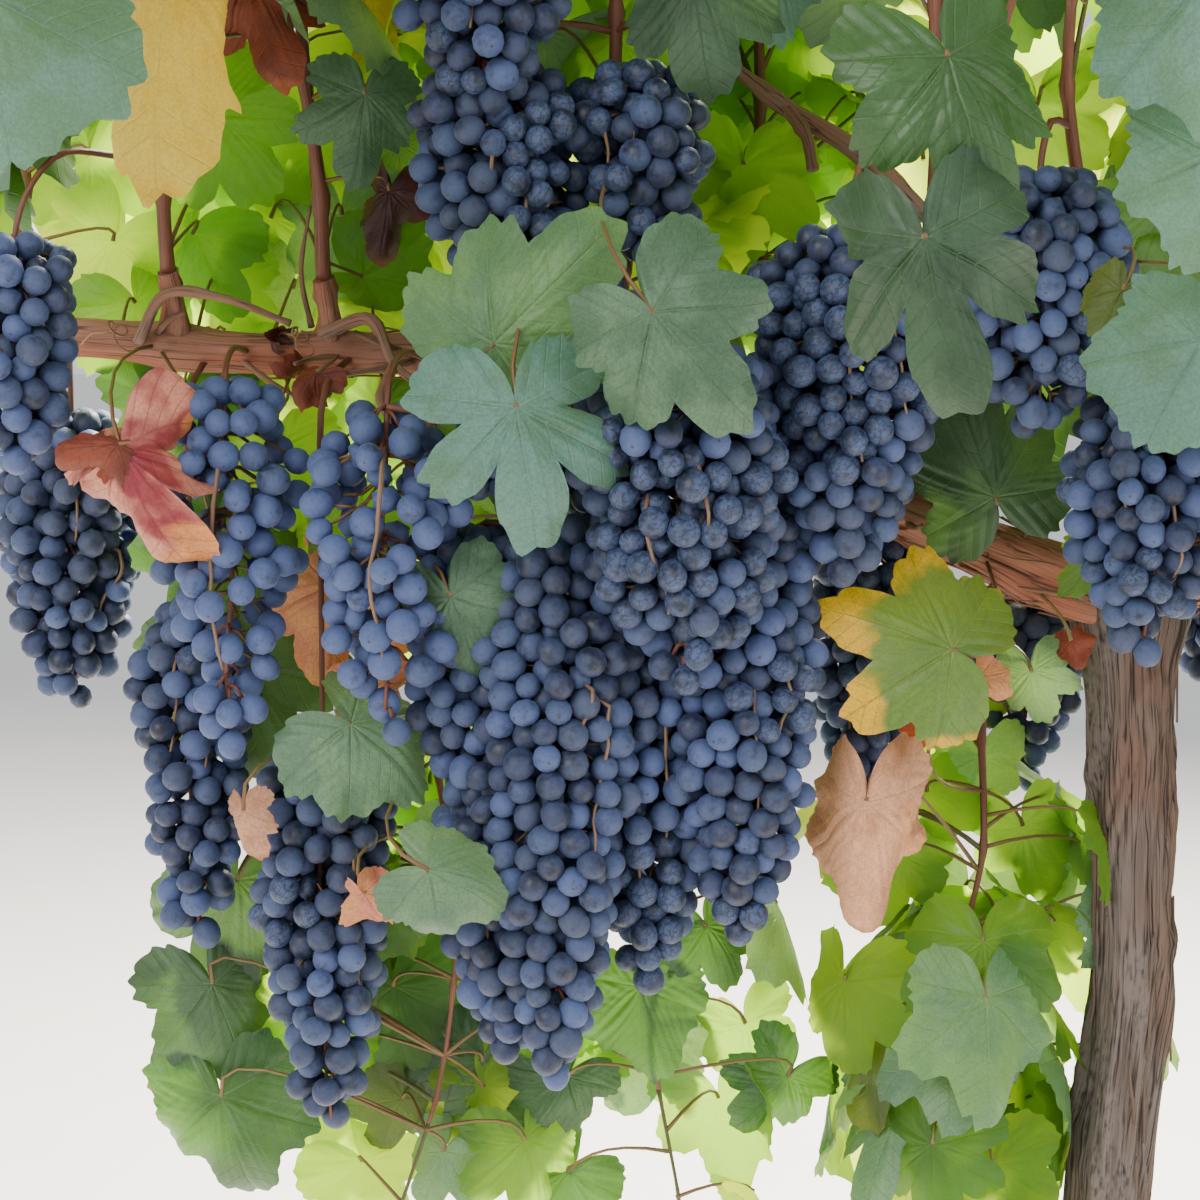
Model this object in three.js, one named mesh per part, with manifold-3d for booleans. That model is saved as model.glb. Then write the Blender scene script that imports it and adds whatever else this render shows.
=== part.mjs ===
// Grapevine in fruit: one trunk, two arms along the row, upright leafy shoots, hanging bunches.
// Millimetres, +Z up. The origin is the middle of the flat cut at ground level. The row runs
// along X, and the side of the vine that shows its fruit looks to -Y.

import * as THREE from 'three';
import { mergeVertices } from 'three/addons/utils/BufferGeometryUtils.js';
import Module from 'manifold-3d';

const wasm = await Module();
wasm.setup();

const vec = (x, y, z) => new THREE.Vector3(x, y, z);
const mix = THREE.MathUtils.lerp;
const rad = THREE.MathUtils.degToRad;
const UP = vec(0, 0, 1);

// Clear space between pieces that meet, and how much a cutter is grown to leave it
const END_GAP = 0.6;
const CUT_GAP = 0.9;

// Trunk: its middle line, from the cut at the ground to the head, and its radii
const TRUNK_LINE = [
  vec(0, 0, 0), vec(-9, 4, 190), vec(-8, 6, 420), vec(-1, 4, 620),
  vec(7, 0, 720), vec(6, 0, 825), vec(3, 0, 925), vec(0, 0, 972),
];
const TRUNK_HEIGHT = 972;
const TRUNK_FOOT_RADIUS = 24.5;
const TRUNK_NECK_RADIUS = 21.5;
const ROOT_FLARE = 17;
const FLARE_FADE = 55;
const HEAD_SWELLING = 9.5;
const HEAD_MIDDLE = 938;
const HEAD_SPREAD = 34;
const DOME_FROM = 946;
const DOME_DEPTH = 0.8;
const STRIP_COUNT = 7;
const STRIP_RELIEF = 0.045;
const LOBE_COUNT = 3;
const LOBE_RELIEF = 0.04;
// Rings stand closer together at the flare and at the head
const RING_CROWDING = 0.08;
const TRUNK_SIDES = 14;
const TRUNK_RINGS = 20;

// Arms: they leave the head, climb to the height they are trained at, and end in a flat cut
const ARM_START = 14;
const ARM_REACH = 690;
const ARM_FOOT_HEIGHT = 944;
const ARM_CLIMB = 136;
const CLIMB_REACH = 500;
const CLIMB_POWER = 1.3;
// The arm snakes a little, sideways and up and down
const ARM_SNAKE = 6;
const SNAKE_PITCH = 55;
const ARM_RIPPLE = 4;
const RIPPLE_PITCH = 37;
const ARM_TIP_RADIUS = 10.5;
const ARM_FOOT_EXTRA = 9.5;
const ARM_TAPER = 150;
const ARM_TWIST = 0.07;
const KNUCKLE = 2.6;
const KNUCKLE_SPREAD = 18;
const ARM_STEPS = 20;
const ARM_SIDES = 8;
const ARM_RINGS = 22;

// Spurs: the short stubs of pruned wood that carry this year's shoots
const SPUR_LENGTH = 46;
const SPUR_FOOT_RADIUS = 8;
const SPUR_TIP_RADIUS = 6.8;
const SPUR_SIDES = 5;
const HEAD_SPUR_FOOT = vec(-20, -8, 944);
const LEFT_SPURS = [115, 200, 283, 360, 445, 530, 620];
const RIGHT_SPURS = Array.from({ length: 8 }, (_, number) => 62 + 82 * number);

// Shoots: splay is how far a foot tips out over its side of the row, in degrees
const SHOOT_SPLAY = 26;
const SHOOT_STEPS = 24;
const SHOOT_SIDES = 4;
const SHOOT_RINGS = 9;
const SHOOT_TIP_RADIUS = 2.6;
const SETTLED_SPLAY = 5;
const SETTLES_AT = 0.2;
const BENDS_FROM = 0.22;
const SWAY = 5;
const TRAILING_THICK = 3.8;
const FIRST_NODE = 46;
const INTERNODE = 66;
const RIGHT_SHOOT_SEED = 17;
const WEEPING_RIGHT_SHOOTS = [4, 7];
const LEAF_SEED = 101;

// Left shoots from the trunk outwards: face is -1 in front and 1 behind, lean is along the row,
// bend is how far over the tip hangs, and late is how late it bends. Degrees and millimetres.
const LEFT_SHOOTS = [
  { face: -1, lean: 14, bend: 180, late: 0.85, length: 690, thick: 6.3 },
  { face: -1, lean: 2, bend: 52, late: 3, length: 930, thick: 5.6 },
  { face: 1, lean: 1, bend: 40, late: 3, length: 950, thick: 5.0 },
  { face: -1, lean: 3, bend: 34, late: 3, length: 940, thick: 4.9 },
  { face: 1, lean: 5, bend: 62, late: 3, length: 950, thick: 4.9 },
  { face: -1, lean: 7, bend: 60, late: 3, length: 930, thick: 4.8 },
  { face: -1, lean: 2, bend: 185, late: 0.75, length: 630, thick: 4.8 },
  { face: 1, lean: 9, bend: 58, late: 2.4, length: 900, thick: 4.6 },
];

// Trailing shoots: the side and reach at which each leaves its arm, and what it hangs through
const TRAILING_SHOOTS = [
  [-1, 66, vec(-72, 32, 900), vec(-80, -4, 790), vec(-96, 6, 690), vec(-88, 10, 600)],
  [-1, 236, vec(-244, 38, 930), vec(-250, 18, 820), vec(-262, 4, 700), vec(-250, 0, 590)],
  [-1, 392, vec(-388, 30, 980), vec(-384, -14, 860), vec(-376, 6, 720), vec(-414, 0, 560)],
  [1, 186, vec(194, 40, 920), vec(206, 20, 800), vec(190, 8, 690), vec(214, 0, 570)],
  [1, 432, vec(440, 38, 970), vec(430, 10, 840), vec(446, 0, 720), vec(426, 6, 600)],
];

// Bunches of the left arm: middle line x and y, top of the shoulders z, length and width
const LEFT_BUNCHES = [
  [-487, -105, 1062, 196, 78], [-402, -130, 1050, 172, 82], [-444, -58, 870, 236, 74],
  [-520, -20, 940, 214, 60], [-318, -110, 991, 300, 84], [-268, -80, 966, 232, 78],
  [-219, -100, 978, 212, 78], [-252, -146, 1079, 172, 104], [-168, -120, 1139, 180, 94],
  [-353, -130, 1306, 112, 80], [-345, -105, 1222, 132, 84], [-272, -96, 1222, 100, 74],
  [-299, -84, 1114, 144, 68], [-70, -110, 1168, 134, 90], [-12, -105, 1062, 146, 82],
  [-141, 24, 981, 214, 62], [-44, 74, 942, 124, 66], [-592, -112, 1136, 120, 64],
  [-300, 84, 1030, 190, 84], [-470, 88, 1050, 176, 82], [-600, 60, 1040, 180, 86],
];

// Bunches of the right arm follow its spurs: one in front of each, and one behind every other
const RIGHT_BUNCH_SEED = 71;
const BUNCH_SIDES = 8;
const BUNCH_RINGS = 6;
const BUNCH_BUMP = 0.09;
const BUNCH_DEPTH = 0.9;
const SHOULDER = 0.24;
const RIGHT_BUNCH_SHIFT = [-16, 16];
const RIGHT_BUNCH_OUTWARD = [86, 126];
const BEHIND_NEARER = 14;
const RIGHT_BUNCH_TOP = [1030, 1140];
const RIGHT_BUNCH_LENGTH = [165, 235];
const RIGHT_BUNCH_WIDTH = [76, 100];
const STALK_RADIUS = 2.6;
const STALK_ARCH = 8;
const STALK_PLACES = [12, 30, 60, 95, 130, 170, 220, 270];
const STALK_SIDES = 3;
const STALK_RINGS = 4;

// A leaf's right half, as fractions of its width: across, along the midrib, and droop
const LEAF_EDGE = [
  [0.3, -0.2, 0.05], [0.5, 0.2, 0.1], [0.28, 0.42, 0.03], [0, 0.84, 0.14],
];
const LEAF_MIDDLE = 0.26;
const LEAF_THICKNESS = 2.6;
const LEAF_STALK_RADIUS = 1.7;
const LEAF_NECK = 1.9;
const NECK_DEPTH = 2.4;
const NECK_SINK = 1.1;
const LEAF_WIDTH = [130, 158];
const LEAF_STALK = [56, 92];
// How far above the level a stalk rises, how steeply a blade droops and rolls, in degrees
const STALK_RISE = [12, 48];
const TRAILING_RISE = [-10, 25];
const BLADE_DROOP = [18, 74];
const TRAILING_DROOP = [45, 82];
const BLADE_ROLL = [-28, 28];
const LEAF_TEST_GROWTH = 1.2;
const LEAF_SCATTER = 1.9;
const OWN_SPACE_SLACK = 30;

// Leaves are picked off in front of the fruit, below this height
const PICKED_HEIGHT = 1232;
// Side twigs grow at these nodes of a shoot in place of a single leaf
const TWIG_NODES = [4, 8];
const TWIG_LENGTH = [90, 140];
const TWIG_RADIUS = 2.2;
const TWIG_LEAVES = [[0.55, 0.5], [1, 0.62]];
const TWIG_BOW = 5;
// Leaves shrink towards a shoot's tip, and stand partly outward, partly along the row
const TIP_LEAF_SIZE = 0.42;
const LEAF_FADE = 360;
const RANK_OUTWARD = 0.4;

// Leaves that show in front of the fruit: palm x, y, z, the angle of the midrib in the plane of
// the row, width, how far the tip comes forward, roll about the midrib, and 1 where the right
// arm has the same leaf in its mirrored place. Millimetres and degrees.
const SHOWN_LEAVES = [
  [-345, -184, 1082, 45, 103, 16, 10, 0], [-332, -206, 1050, -73, 96, 4, -4, 1],
  [-269, -226, 1097, -35, 90, 10, 26, 0], [-125, -172, 1220, -72, 115, 12, -12, 1],
  [-153, -190, 1132, -87, 114, 4, 8, 1], [-249, -152, 1263, -84, 78, 8, 14, 1],
  [-213, -100, 1275, -60, 62, 0, -20, 0], [-56, -296, 1239, -80, 88, 20, 10, 0],
  [-40, -262, 1167, -100, 70, 5, -10, 0], [-18, -220, 1112, -112, 88, 10, 12, 0],
  [-83, -62, 1001, 111, 88, 10, -10, 0], [-113, -120, 925, 157, 93, 5, 6, 0],
  [-157, -96, 860, -35, 58, 10, 35, 1], [-117, -70, 873, 80, 28, 10, 20, 0],
  [-54, -14, 900, -75, 46, 0, 30, 0], [-533, -150, 1029, -69, 96, 20, 15, 0],
  [-438, -48, 944, -115, 66, 5, 6, 1], [-441, -106, 892, -30, 72, 4, -12, 0],
  [-372, -60, 959, -80, 50, 0, 14, 0], [-398, -160, 820, -24, 56, 6, -10, 1],
  [-491, 4, 773, -108, 96, 0, 5, 1], [-411, -20, 774, -118, 48, 5, 10, 0],
  [-432, 20, 727, -90, 54, 5, -10, 0], [-271, -4, 718, -79, 48, 10, 10, 1],
  [-234, -4, 753, -68, 42, 5, -10, 0], [-309, 26, 683, -90, 54, 5, 15, 0],
  [-498, -150, 1260, -91, 84, 0, 16, 1], [-450, -92, 1270, -74, 52, 5, 10, 0],
  [-415, -90, 1209, -95, 58, 5, -15, 1], [-541, -290, 1239, -83, 112, 15, 5, 0],
];
const MIRROR_SHIFT = 26;
const LONGEST_LEAF_STALK = 215;
const ROOT_STEP = 12;

// Seeded dice that give the same throws in any language
function dice(seed) {
  let state = Math.imul(seed, 2654435761) >>> 0;
  return () => {
    state = (Math.imul(state, 1664525) + 1013904223) >>> 0;
    return state / 4294967296;
  };
}

// Solids and geometry

function solidOf(geometry) {
  geometry.deleteAttribute('normal');
  geometry.deleteAttribute('uv');
  const merged = mergeVertices(geometry, 0.001);
  const vertProperties = new Float32Array(merged.attributes.position.array);
  const triVerts = new Uint32Array(merged.index.array);
  return new wasm.Manifold(new wasm.Mesh({ numProp: 3, vertProperties, triVerts }));
}

function geometryOf(solid) {
  const mesh = solid.getMesh();
  const geometry = new THREE.BufferGeometry();
  geometry.setAttribute('position', new THREE.BufferAttribute(mesh.vertProperties, 3));
  geometry.setIndex(new THREE.BufferAttribute(mesh.triVerts, 1));
  geometry.computeVertexNormals();
  return geometry;
}

// The biggest piece of a cut solid: loose scraps are dropped
function largest(solid) {
  const pieces = solid.decompose();
  return pieces.reduce((best, piece) => (piece.volume() > best.volume() ? piece : best));
}

function boxOf(solid) {
  const { min, max } = solid.boundingBox();
  return new THREE.Box3(vec(...min), vec(...max));
}

function touches(solid, box, others) {
  return others.some((other) => (
    other.box.intersectsBox(box) && !solid.intersect(other.solid).isEmpty()
  ));
}

// A tapering limb along a smooth line, closed by flat ends square to the line
function limb(line, radiusAt, sides, rings) {
  const path = new THREE.CatmullRomCurve3(line);
  const frames = path.computeFrenetFrames(rings);
  const tube = new THREE.CylinderGeometry(1, 1, 1, sides, rings);
  const place = tube.attributes.position;
  for (let index = 0; index < place.count; index++) {
    const ring = Math.round((place.getY(index) + 0.5) * rings);
    const angle = Math.atan2(place.getZ(index), place.getX(index));
    const across = Math.hypot(place.getX(index), place.getZ(index));
    const radius = across * radiusAt(ring / rings, angle);
    const at = path.getPointAt(ring / rings);
    at.addScaledVector(frames.binormals[ring], Math.cos(angle) * radius);
    at.addScaledVector(frames.normals[ring], Math.sin(angle) * radius);
    place.setXYZ(index, at.x, at.y, at.z);
  }
  return solidOf(tube);
}

// Trunk, with level rings from the cut at the ground to the rounded head

function trunkRadius(height, angle) {
  const plain = mix(TRUNK_FOOT_RADIUS, TRUNK_NECK_RADIUS, height / TRUNK_HEIGHT);
  const ridges = 1 + 0.25 * Math.sin(LOBE_COUNT * angle);
  const flare = ROOT_FLARE * Math.exp(-height / FLARE_FADE) * ridges;
  const head = HEAD_SWELLING * Math.exp(-(((height - HEAD_MIDDLE) / HEAD_SPREAD) ** 2));
  const topShare = Math.max(0, (height - DOME_FROM) / (TRUNK_HEIGHT - DOME_FROM));
  const dome = Math.sqrt(1 - DOME_DEPTH * topShare ** 2);
  const strips = STRIP_RELIEF * Math.cos(STRIP_COUNT * angle + height / 260);
  const lobes = LOBE_RELIEF * Math.sin(LOBE_COUNT * angle + height / 90);
  return (plain + flare + head) * dome * (1 + strips + lobes);
}

function trunkBody(growth) {
  const path = new THREE.CatmullRomCurve3(TRUNK_LINE);
  const tube = new THREE.CylinderGeometry(1, 1, 1, TRUNK_SIDES, TRUNK_RINGS);
  const place = tube.attributes.position;
  for (let index = 0; index < place.count; index++) {
    const share = place.getY(index) + 0.5;
    const height = TRUNK_HEIGHT * (share - RING_CROWDING * Math.sin(2 * Math.PI * share));
    const across = Math.hypot(place.getX(index), place.getZ(index));
    const angle = Math.atan2(-place.getZ(index), place.getX(index));
    const radius = across * (trunkRadius(height, angle) + growth);
    const middle = path.getPointAt(height / TRUNK_HEIGHT);
    place.setXYZ(
      index,
      middle.x + radius * Math.cos(angle),
      middle.y + radius * Math.sin(angle),
      height,
    );
  }
  return solidOf(tube);
}

// Arms and their spurs

function armPoint(side, reach) {
  const climb = Math.sin(Math.min(1, reach / CLIMB_REACH) * Math.PI / 2) ** CLIMB_POWER;
  const ripple = ARM_RIPPLE * Math.sin(reach / RIPPLE_PITCH + 2 * side);
  return vec(
    side * reach,
    ARM_SNAKE * Math.sin(reach / SNAKE_PITCH + side),
    ARM_FOOT_HEIGHT + ARM_CLIMB * climb + ripple,
  );
}

function armRadius(reach, spurs) {
  const knuckles = spurs.map((spur) => (
    KNUCKLE * Math.exp(-(((reach - spur) / KNUCKLE_SPREAD) ** 2))
  ));
  const plain = ARM_TIP_RADIUS + ARM_FOOT_EXTRA * Math.exp(-reach / ARM_TAPER);
  return plain + knuckles.reduce((sum, knuckle) => sum + knuckle, 0);
}

function armBody(side, spurs, growth) {
  const line = [];
  for (let step = 0; step <= ARM_STEPS; step++) {
    line.push(armPoint(side, mix(ARM_START, ARM_REACH, step / ARM_STEPS)));
  }
  const radiusAt = (share, angle) => {
    const reach = mix(ARM_START, ARM_REACH, share);
    const twist = 1 + ARM_TWIST * Math.sin(LOBE_COUNT * angle + reach / 30);
    return armRadius(reach, spurs) * twist + growth;
  };
  return limb(line, radiusAt, ARM_SIDES, ARM_RINGS);
}

function spurHeading(face) {
  return vec(0, face * Math.sin(rad(SHOOT_SPLAY)), Math.cos(rad(SHOOT_SPLAY)));
}

function spurBody(foot, face, growth) {
  const line = [0, 0.5, 1].map((share) => (
    foot.clone().addScaledVector(spurHeading(face), share * SPUR_LENGTH)
  ));
  const radiusAt = (share) => mix(SPUR_FOOT_RADIUS, SPUR_TIP_RADIUS, share) + growth;
  return limb(line, radiusAt, SPUR_SIDES, 2);
}

// Shoots

// A shoot's line starts the way its spur points, leans along the row and then bends over
function shootLine(foot, side, plan, seed) {
  const sway = dice(seed)() * 2 * Math.PI;
  const start = foot.clone().addScaledVector(spurHeading(plan.face), SPUR_LENGTH + END_GAP);
  const line = [start];
  for (let step = 0; step < SHOOT_STEPS; step++) {
    const share = step / SHOOT_STEPS;
    const settled = Math.min(1, share / SETTLES_AT);
    const lean = rad((plan.lean + SWAY * Math.sin(9 * share + sway)) * settled);
    const over = Math.max(0, (share - BENDS_FROM) / (1 - BENDS_FROM)) ** plan.late;
    const tip = rad(mix(SHOOT_SPLAY, SETTLED_SPLAY, settled) + plan.bend * over);
    const heading = vec(
      side * Math.sin(lean), plan.face * Math.sin(tip), Math.cos(tip) * Math.cos(lean),
    );
    heading.normalize();
    line.push(line[step].clone().addScaledVector(heading, plan.length / SHOOT_STEPS));
  }
  return line;
}

// Right shoots follow the same habit: one in front and one behind weep over, the rest stand up
function rightPlans() {
  const roll = dice(RIGHT_SHOOT_SEED);
  return RIGHT_SPURS.map((_, number) => {
    const weeps = WEEPING_RIGHT_SHOOTS.includes(number + 1);
    return {
      face: number % 2 === 0 ? 1 : -1,
      lean: 2 * number - 5 + 3 * roll(),
      bend: weeps ? 180 : mix(30, 66, roll()),
      late: weeps ? 0.9 : mix(2.4, 3.2, roll()),
      length: weeps ? 680 : mix(890, 960, roll()),
      thick: mix(4.6, 5.4, roll()),
    };
  });
}

function lengthOf(line) {
  return line.slice(1).reduce((sum, point, index) => sum + point.distanceTo(line[index]), 0);
}

// The point so far along a line
function along(line, distance) {
  let left = distance;
  for (let index = 1; index < line.length; index++) {
    const step = line[index].distanceTo(line[index - 1]);
    if (left <= step || index === line.length - 1) {
      return line[index - 1].clone().lerp(line[index], Math.min(1, left / step));
    }
    left -= step;
  }
  return line[line.length - 1].clone();
}

function growShoots() {
  const shoots = [];
  const addSide = (side, word, feet, plans) => {
    plans.forEach((plan, number) => {
      shoots.push({
        name: `shoot_${word}_${number + 1}`,
        line: shootLine(feet[number], side, plan, shoots.length + 1),
        face: plan.face,
        thick: plan.thick,
        trailing: false,
        seed: shoots.length + LEAF_SEED,
      });
    });
  };
  const leftFeet = [HEAD_SPUR_FOOT, ...LEFT_SPURS.map((reach) => armPoint(-1, reach))];
  addSide(-1, 'left', leftFeet, LEFT_SHOOTS);
  addSide(1, 'right', RIGHT_SPURS.map((reach) => armPoint(1, reach)), rightPlans());
  TRAILING_SHOOTS.forEach(([side, reach, ...hang], number) => {
    const points = [armPoint(side, reach), ...hang];
    shoots.push({
      name: `trailing_shoot_${number + 1}`,
      line: new THREE.CatmullRomCurve3(points).getSpacedPoints(SHOOT_STEPS),
      face: number % 2 === 0 ? 1 : -1,
      thick: TRAILING_THICK,
      trailing: true,
      seed: shoots.length + LEAF_SEED,
    });
  });
  return shoots;
}

function shootBody(shoot, growth) {
  const radiusAt = (share) => mix(shoot.thick, SHOOT_TIP_RADIUS, share) + growth;
  return limb(shoot.line, radiusAt, SHOOT_SIDES, SHOOT_RINGS);
}

// Leaves

// A leaf by rule: where its stalk roots, its palm, the way of its midrib, and its upper side
function ruleLeaf(root, azimuth, size, hanging, roll) {
  const turn = azimuth + (roll() - 0.5) * LEAF_SCATTER;
  const rise = rad(mix(...(hanging ? TRAILING_RISE : STALK_RISE), roll()));
  const droop = rad(mix(...(hanging ? TRAILING_DROOP : BLADE_DROOP), roll()));
  const tilt = rad(mix(...BLADE_ROLL, roll()));
  const width = mix(...LEAF_WIDTH, roll()) * size;
  const stalk = mix(...LEAF_STALK, roll()) * (0.4 + 0.6 * size);
  const out = vec(Math.cos(turn), Math.sin(turn), 0);
  const reach = out.clone().multiplyScalar(Math.cos(rise)).addScaledVector(UP, Math.sin(rise));
  const midrib = out.clone().multiplyScalar(Math.cos(droop)).addScaledVector(UP, -Math.sin(droop));
  const top = out.clone().multiplyScalar(Math.sin(droop)).addScaledVector(UP, Math.cos(droop));
  top.applyAxisAngle(midrib, tilt);
  return { root, palm: root.clone().addScaledVector(reach, stalk), midrib, top, width };
}

// What grows at each node of a shoot, left and right in turn: a leaf, or a twig with leaves
function growthOf(shoot) {
  const roll = dice(shoot.seed);
  const length = lengthOf(shoot.line);
  const sprays = [];
  for (let node = 0; FIRST_NODE + node * INTERNODE < length; node++) {
    const distance = FIRST_NODE + node * INTERNODE;
    const root = along(shoot.line, distance);
    const size = Math.min(1, TIP_LEAF_SIZE + (length - distance) / LEAF_FADE);
    const rank = node % 2 === 0 ? 1 : -1;
    const azimuth = Math.atan2(shoot.face * RANK_OUTWARD, rank * (1 - RANK_OUTWARD));
    const leaf = ruleLeaf(root, azimuth, size, shoot.trailing, roll);
    const picked = !shoot.trailing && shoot.face < 0 && leaf.palm.z < PICKED_HEIGHT;
    if (TWIG_NODES.includes(node) && !picked) {
      const way = leaf.palm.clone().sub(root).normalize();
      const tip = root.clone().addScaledVector(way, mix(...TWIG_LENGTH, roll()));
      const middle = root.clone().lerp(tip, 0.5).addScaledVector(UP, TWIG_BOW);
      const leaves = TWIG_LEAVES.map(([share, part]) => (
        ruleLeaf(root.clone().lerp(tip, share), azimuth, size * part, shoot.trailing, roll)
      ));
      sprays.push({ twig: [root, middle, tip], leaves });
    } else if (!picked) {
      sprays.push({ twig: null, leaves: [leaf] });
    }
  }
  return sprays;
}

// The leaves that show in front, each with the places it may root, the nearest shoot first
function shownLeaves(shoots) {
  const places = SHOWN_LEAVES.flatMap((row) => {
    const [x, y, z, angle, width, forward, tilt, again] = row;
    const twin = [-x + MIRROR_SHIFT, y, z, 180 - angle, width, forward, -tilt, 0];
    return again ? [row, twin] : [row];
  });
  return places.map(([x, y, z, angle, width, forward, tilt]) => {
    const palm = vec(x, y, z);
    const ahead = Math.cos(rad(forward));
    const midrib = vec(
      Math.cos(rad(angle)) * ahead, -Math.sin(rad(forward)), Math.sin(rad(angle)) * ahead,
    );
    const top = vec(0, -1, 0.25);
    top.addScaledVector(midrib, -top.dot(midrib)).normalize().applyAxisAngle(midrib, rad(tilt));
    const roots = shoots.flatMap((shoot, owner) => {
      const steps = Math.floor((lengthOf(shoot.line) - 20) / ROOT_STEP);
      return Array.from({ length: steps }, (_, step) => {
        const root = along(shoot.line, 10 + step * ROOT_STEP);
        return { owner, root, stalk: root.distanceTo(palm) };
      });
    });
    const near = roots.filter(({ root, stalk }) => root.y > y - 20 && stalk < LONGEST_LEAF_STALK);
    near.sort((one, other) => one.stalk - other.stalk);
    return near.map(({ owner, root }) => ({ owner, root, palm, midrib, top, width }));
  });
}

// A leaf in one piece with its stalk: growth thickens and widens it, to test the space round it
function leafBody(leaf, growth) {
  const { root, palm, midrib, top } = leaf;
  const width = leaf.width + 2 * growth;
  const right = midrib.clone().cross(top);
  const at = (across, run, drop, lift) => palm.clone()
    .addScaledVector(right, across * width)
    .addScaledVector(midrib, run * width)
    .addScaledVector(top, lift - drop * width);
  const half = LEAF_THICKNESS / 2 + growth;
  const neck = LEAF_NECK + growth;
  const edge = LEAF_EDGE.map(([across, run, drop]) => at(across, run, drop, 0));
  const mirrored = LEAF_EDGE.slice(0, -1).reverse()
    .map(([across, run, drop]) => at(-across, run, drop, 0));
  const stalkWay = palm.clone().sub(root).normalize();
  const under = midrib.clone().multiplyScalar(stalkWay.dot(top))
    .addScaledVector(top, -stalkWay.dot(midrib));
  const low = palm.clone()
    .addScaledVector(under, NECK_DEPTH + growth)
    .addScaledVector(top, -NECK_SINK);
  const neckRight = palm.clone().addScaledVector(right, neck);
  const neckLeft = palm.clone().addScaledVector(right, -neck);
  const rim = [neckRight, ...edge, ...mirrored, neckLeft];
  const crownAt = at(0, LEAF_MIDDLE, 0, half);
  const soleAt = at(0, LEAF_MIDDLE, 0, -half);
  const thin = LEAF_STALK_RADIUS + growth;
  const stalkRing = [neckRight, neckLeft, low].map((corner) => {
    const offset = corner.clone().sub(palm);
    offset.addScaledVector(stalkWay, -offset.dot(stalkWay));
    return root.clone().addScaledVector(offset.normalize(), thin);
  });
  const points = [...rim, low, crownAt, soleAt, ...stalkRing];
  const last = rim.length - 1;
  const lowIndex = rim.length;
  const crown = lowIndex + 1;
  const sole = lowIndex + 2;
  const ring = lowIndex + 3;
  const faces = [[crown, last, 0], [sole, 0, lowIndex], [sole, lowIndex, last]];
  for (let index = 0; index < last; index++) {
    faces.push([crown, index, index + 1], [sole, index + 1, index]);
  }
  const neckCorners = [0, last, lowIndex];
  for (let index = 0; index < 3; index++) {
    const next = (index + 1) % 3;
    faces.push([neckCorners[index], neckCorners[next], ring + next]);
    faces.push([neckCorners[index], ring + next, ring + index]);
  }
  faces.push([ring, ring + 1, ring + 2]);
  const geometry = new THREE.BufferGeometry().setFromPoints(points);
  geometry.setIndex(faces.flat());
  const solid = solidOf(geometry);
  return { solid, box: boxOf(solid), rim };
}

// True where every point of the leaf is nearer to its own shoot than to any other
function inOwnSpace(rim, owner, shoots) {
  return rim.every((point) => {
    const gaps = shoots.map((shoot) => Math.min(...shoot.line.map((at) => at.distanceTo(point))));
    return gaps[owner] <= Math.min(...gaps) + OWN_SPACE_SLACK;
  });
}

// Bunches

function bunchRadius(share) {
  if (share < SHOULDER) return Math.sqrt(1 - ((SHOULDER - share) / SHOULDER) ** 2 * 0.92);
  const rest = (share - SHOULDER) / (1 - SHOULDER);
  return Math.max(0.03, (1 - rest ** 2.1) ** 0.72);
}

// Fruit as a bumpy lump, widest at its shoulders and pointed below
function fruitBody(bunch, growth) {
  const ball = new THREE.SphereGeometry(1, BUNCH_SIDES, BUNCH_RINGS);
  const place = ball.attributes.position;
  for (let index = 0; index < place.count; index++) {
    const polar = Math.acos(THREE.MathUtils.clamp(place.getY(index), -1, 1)) / Math.PI;
    const angle = Math.atan2(place.getZ(index), place.getX(index));
    const atEnd = polar < 0.01 || polar > 0.99;
    const ring = Math.round(polar * BUNCH_RINGS);
    const column = Math.round(angle / (2 * Math.PI) * BUNCH_SIDES);
    const bump = 1 + BUNCH_BUMP * ((ring + column) % 2 === 0 ? 1 : -1);
    const radius = atEnd ? 0 : bunchRadius(polar) * bump * bunch.width / 2 + growth;
    const height = bunch.top - polar * bunch.length + growth * (1 - 2 * polar);
    place.setXYZ(
      index,
      bunch.x + radius * Math.cos(angle),
      bunch.y + BUNCH_DEPTH * radius * Math.sin(-angle),
      height,
    );
  }
  return solidOf(ball);
}

function growBunches(shoots) {
  const roll = dice(RIGHT_BUNCH_SEED);
  const bunches = LEFT_BUNCHES.map(([x, y, top, length, width], index) => (
    { name: `bunch_left_${index + 1}`, x, y, top, length, width }
  ));
  RIGHT_SPURS.forEach((reach, number) => {
    for (const face of number % 2 === 0 ? [-1, 1] : [-1]) {
      const shift = mix(...RIGHT_BUNCH_SHIFT, roll());
      const outward = mix(...RIGHT_BUNCH_OUTWARD, roll());
      const top = mix(...RIGHT_BUNCH_TOP, roll());
      bunches.push({
        name: `bunch_right_${bunches.length - LEFT_BUNCHES.length + 1}`,
        x: reach + shift,
        y: face * (face < 0 ? outward : outward - BEHIND_NEARER),
        top,
        length: mix(...RIGHT_BUNCH_LENGTH, roll()),
        width: mix(...RIGHT_BUNCH_WIDTH, roll()),
      });
    }
  });
  bunches.forEach((bunch) => {
    bunch.stalk = stalkLine(bunch, shoots);
  });
  return bunches;
}

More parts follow.
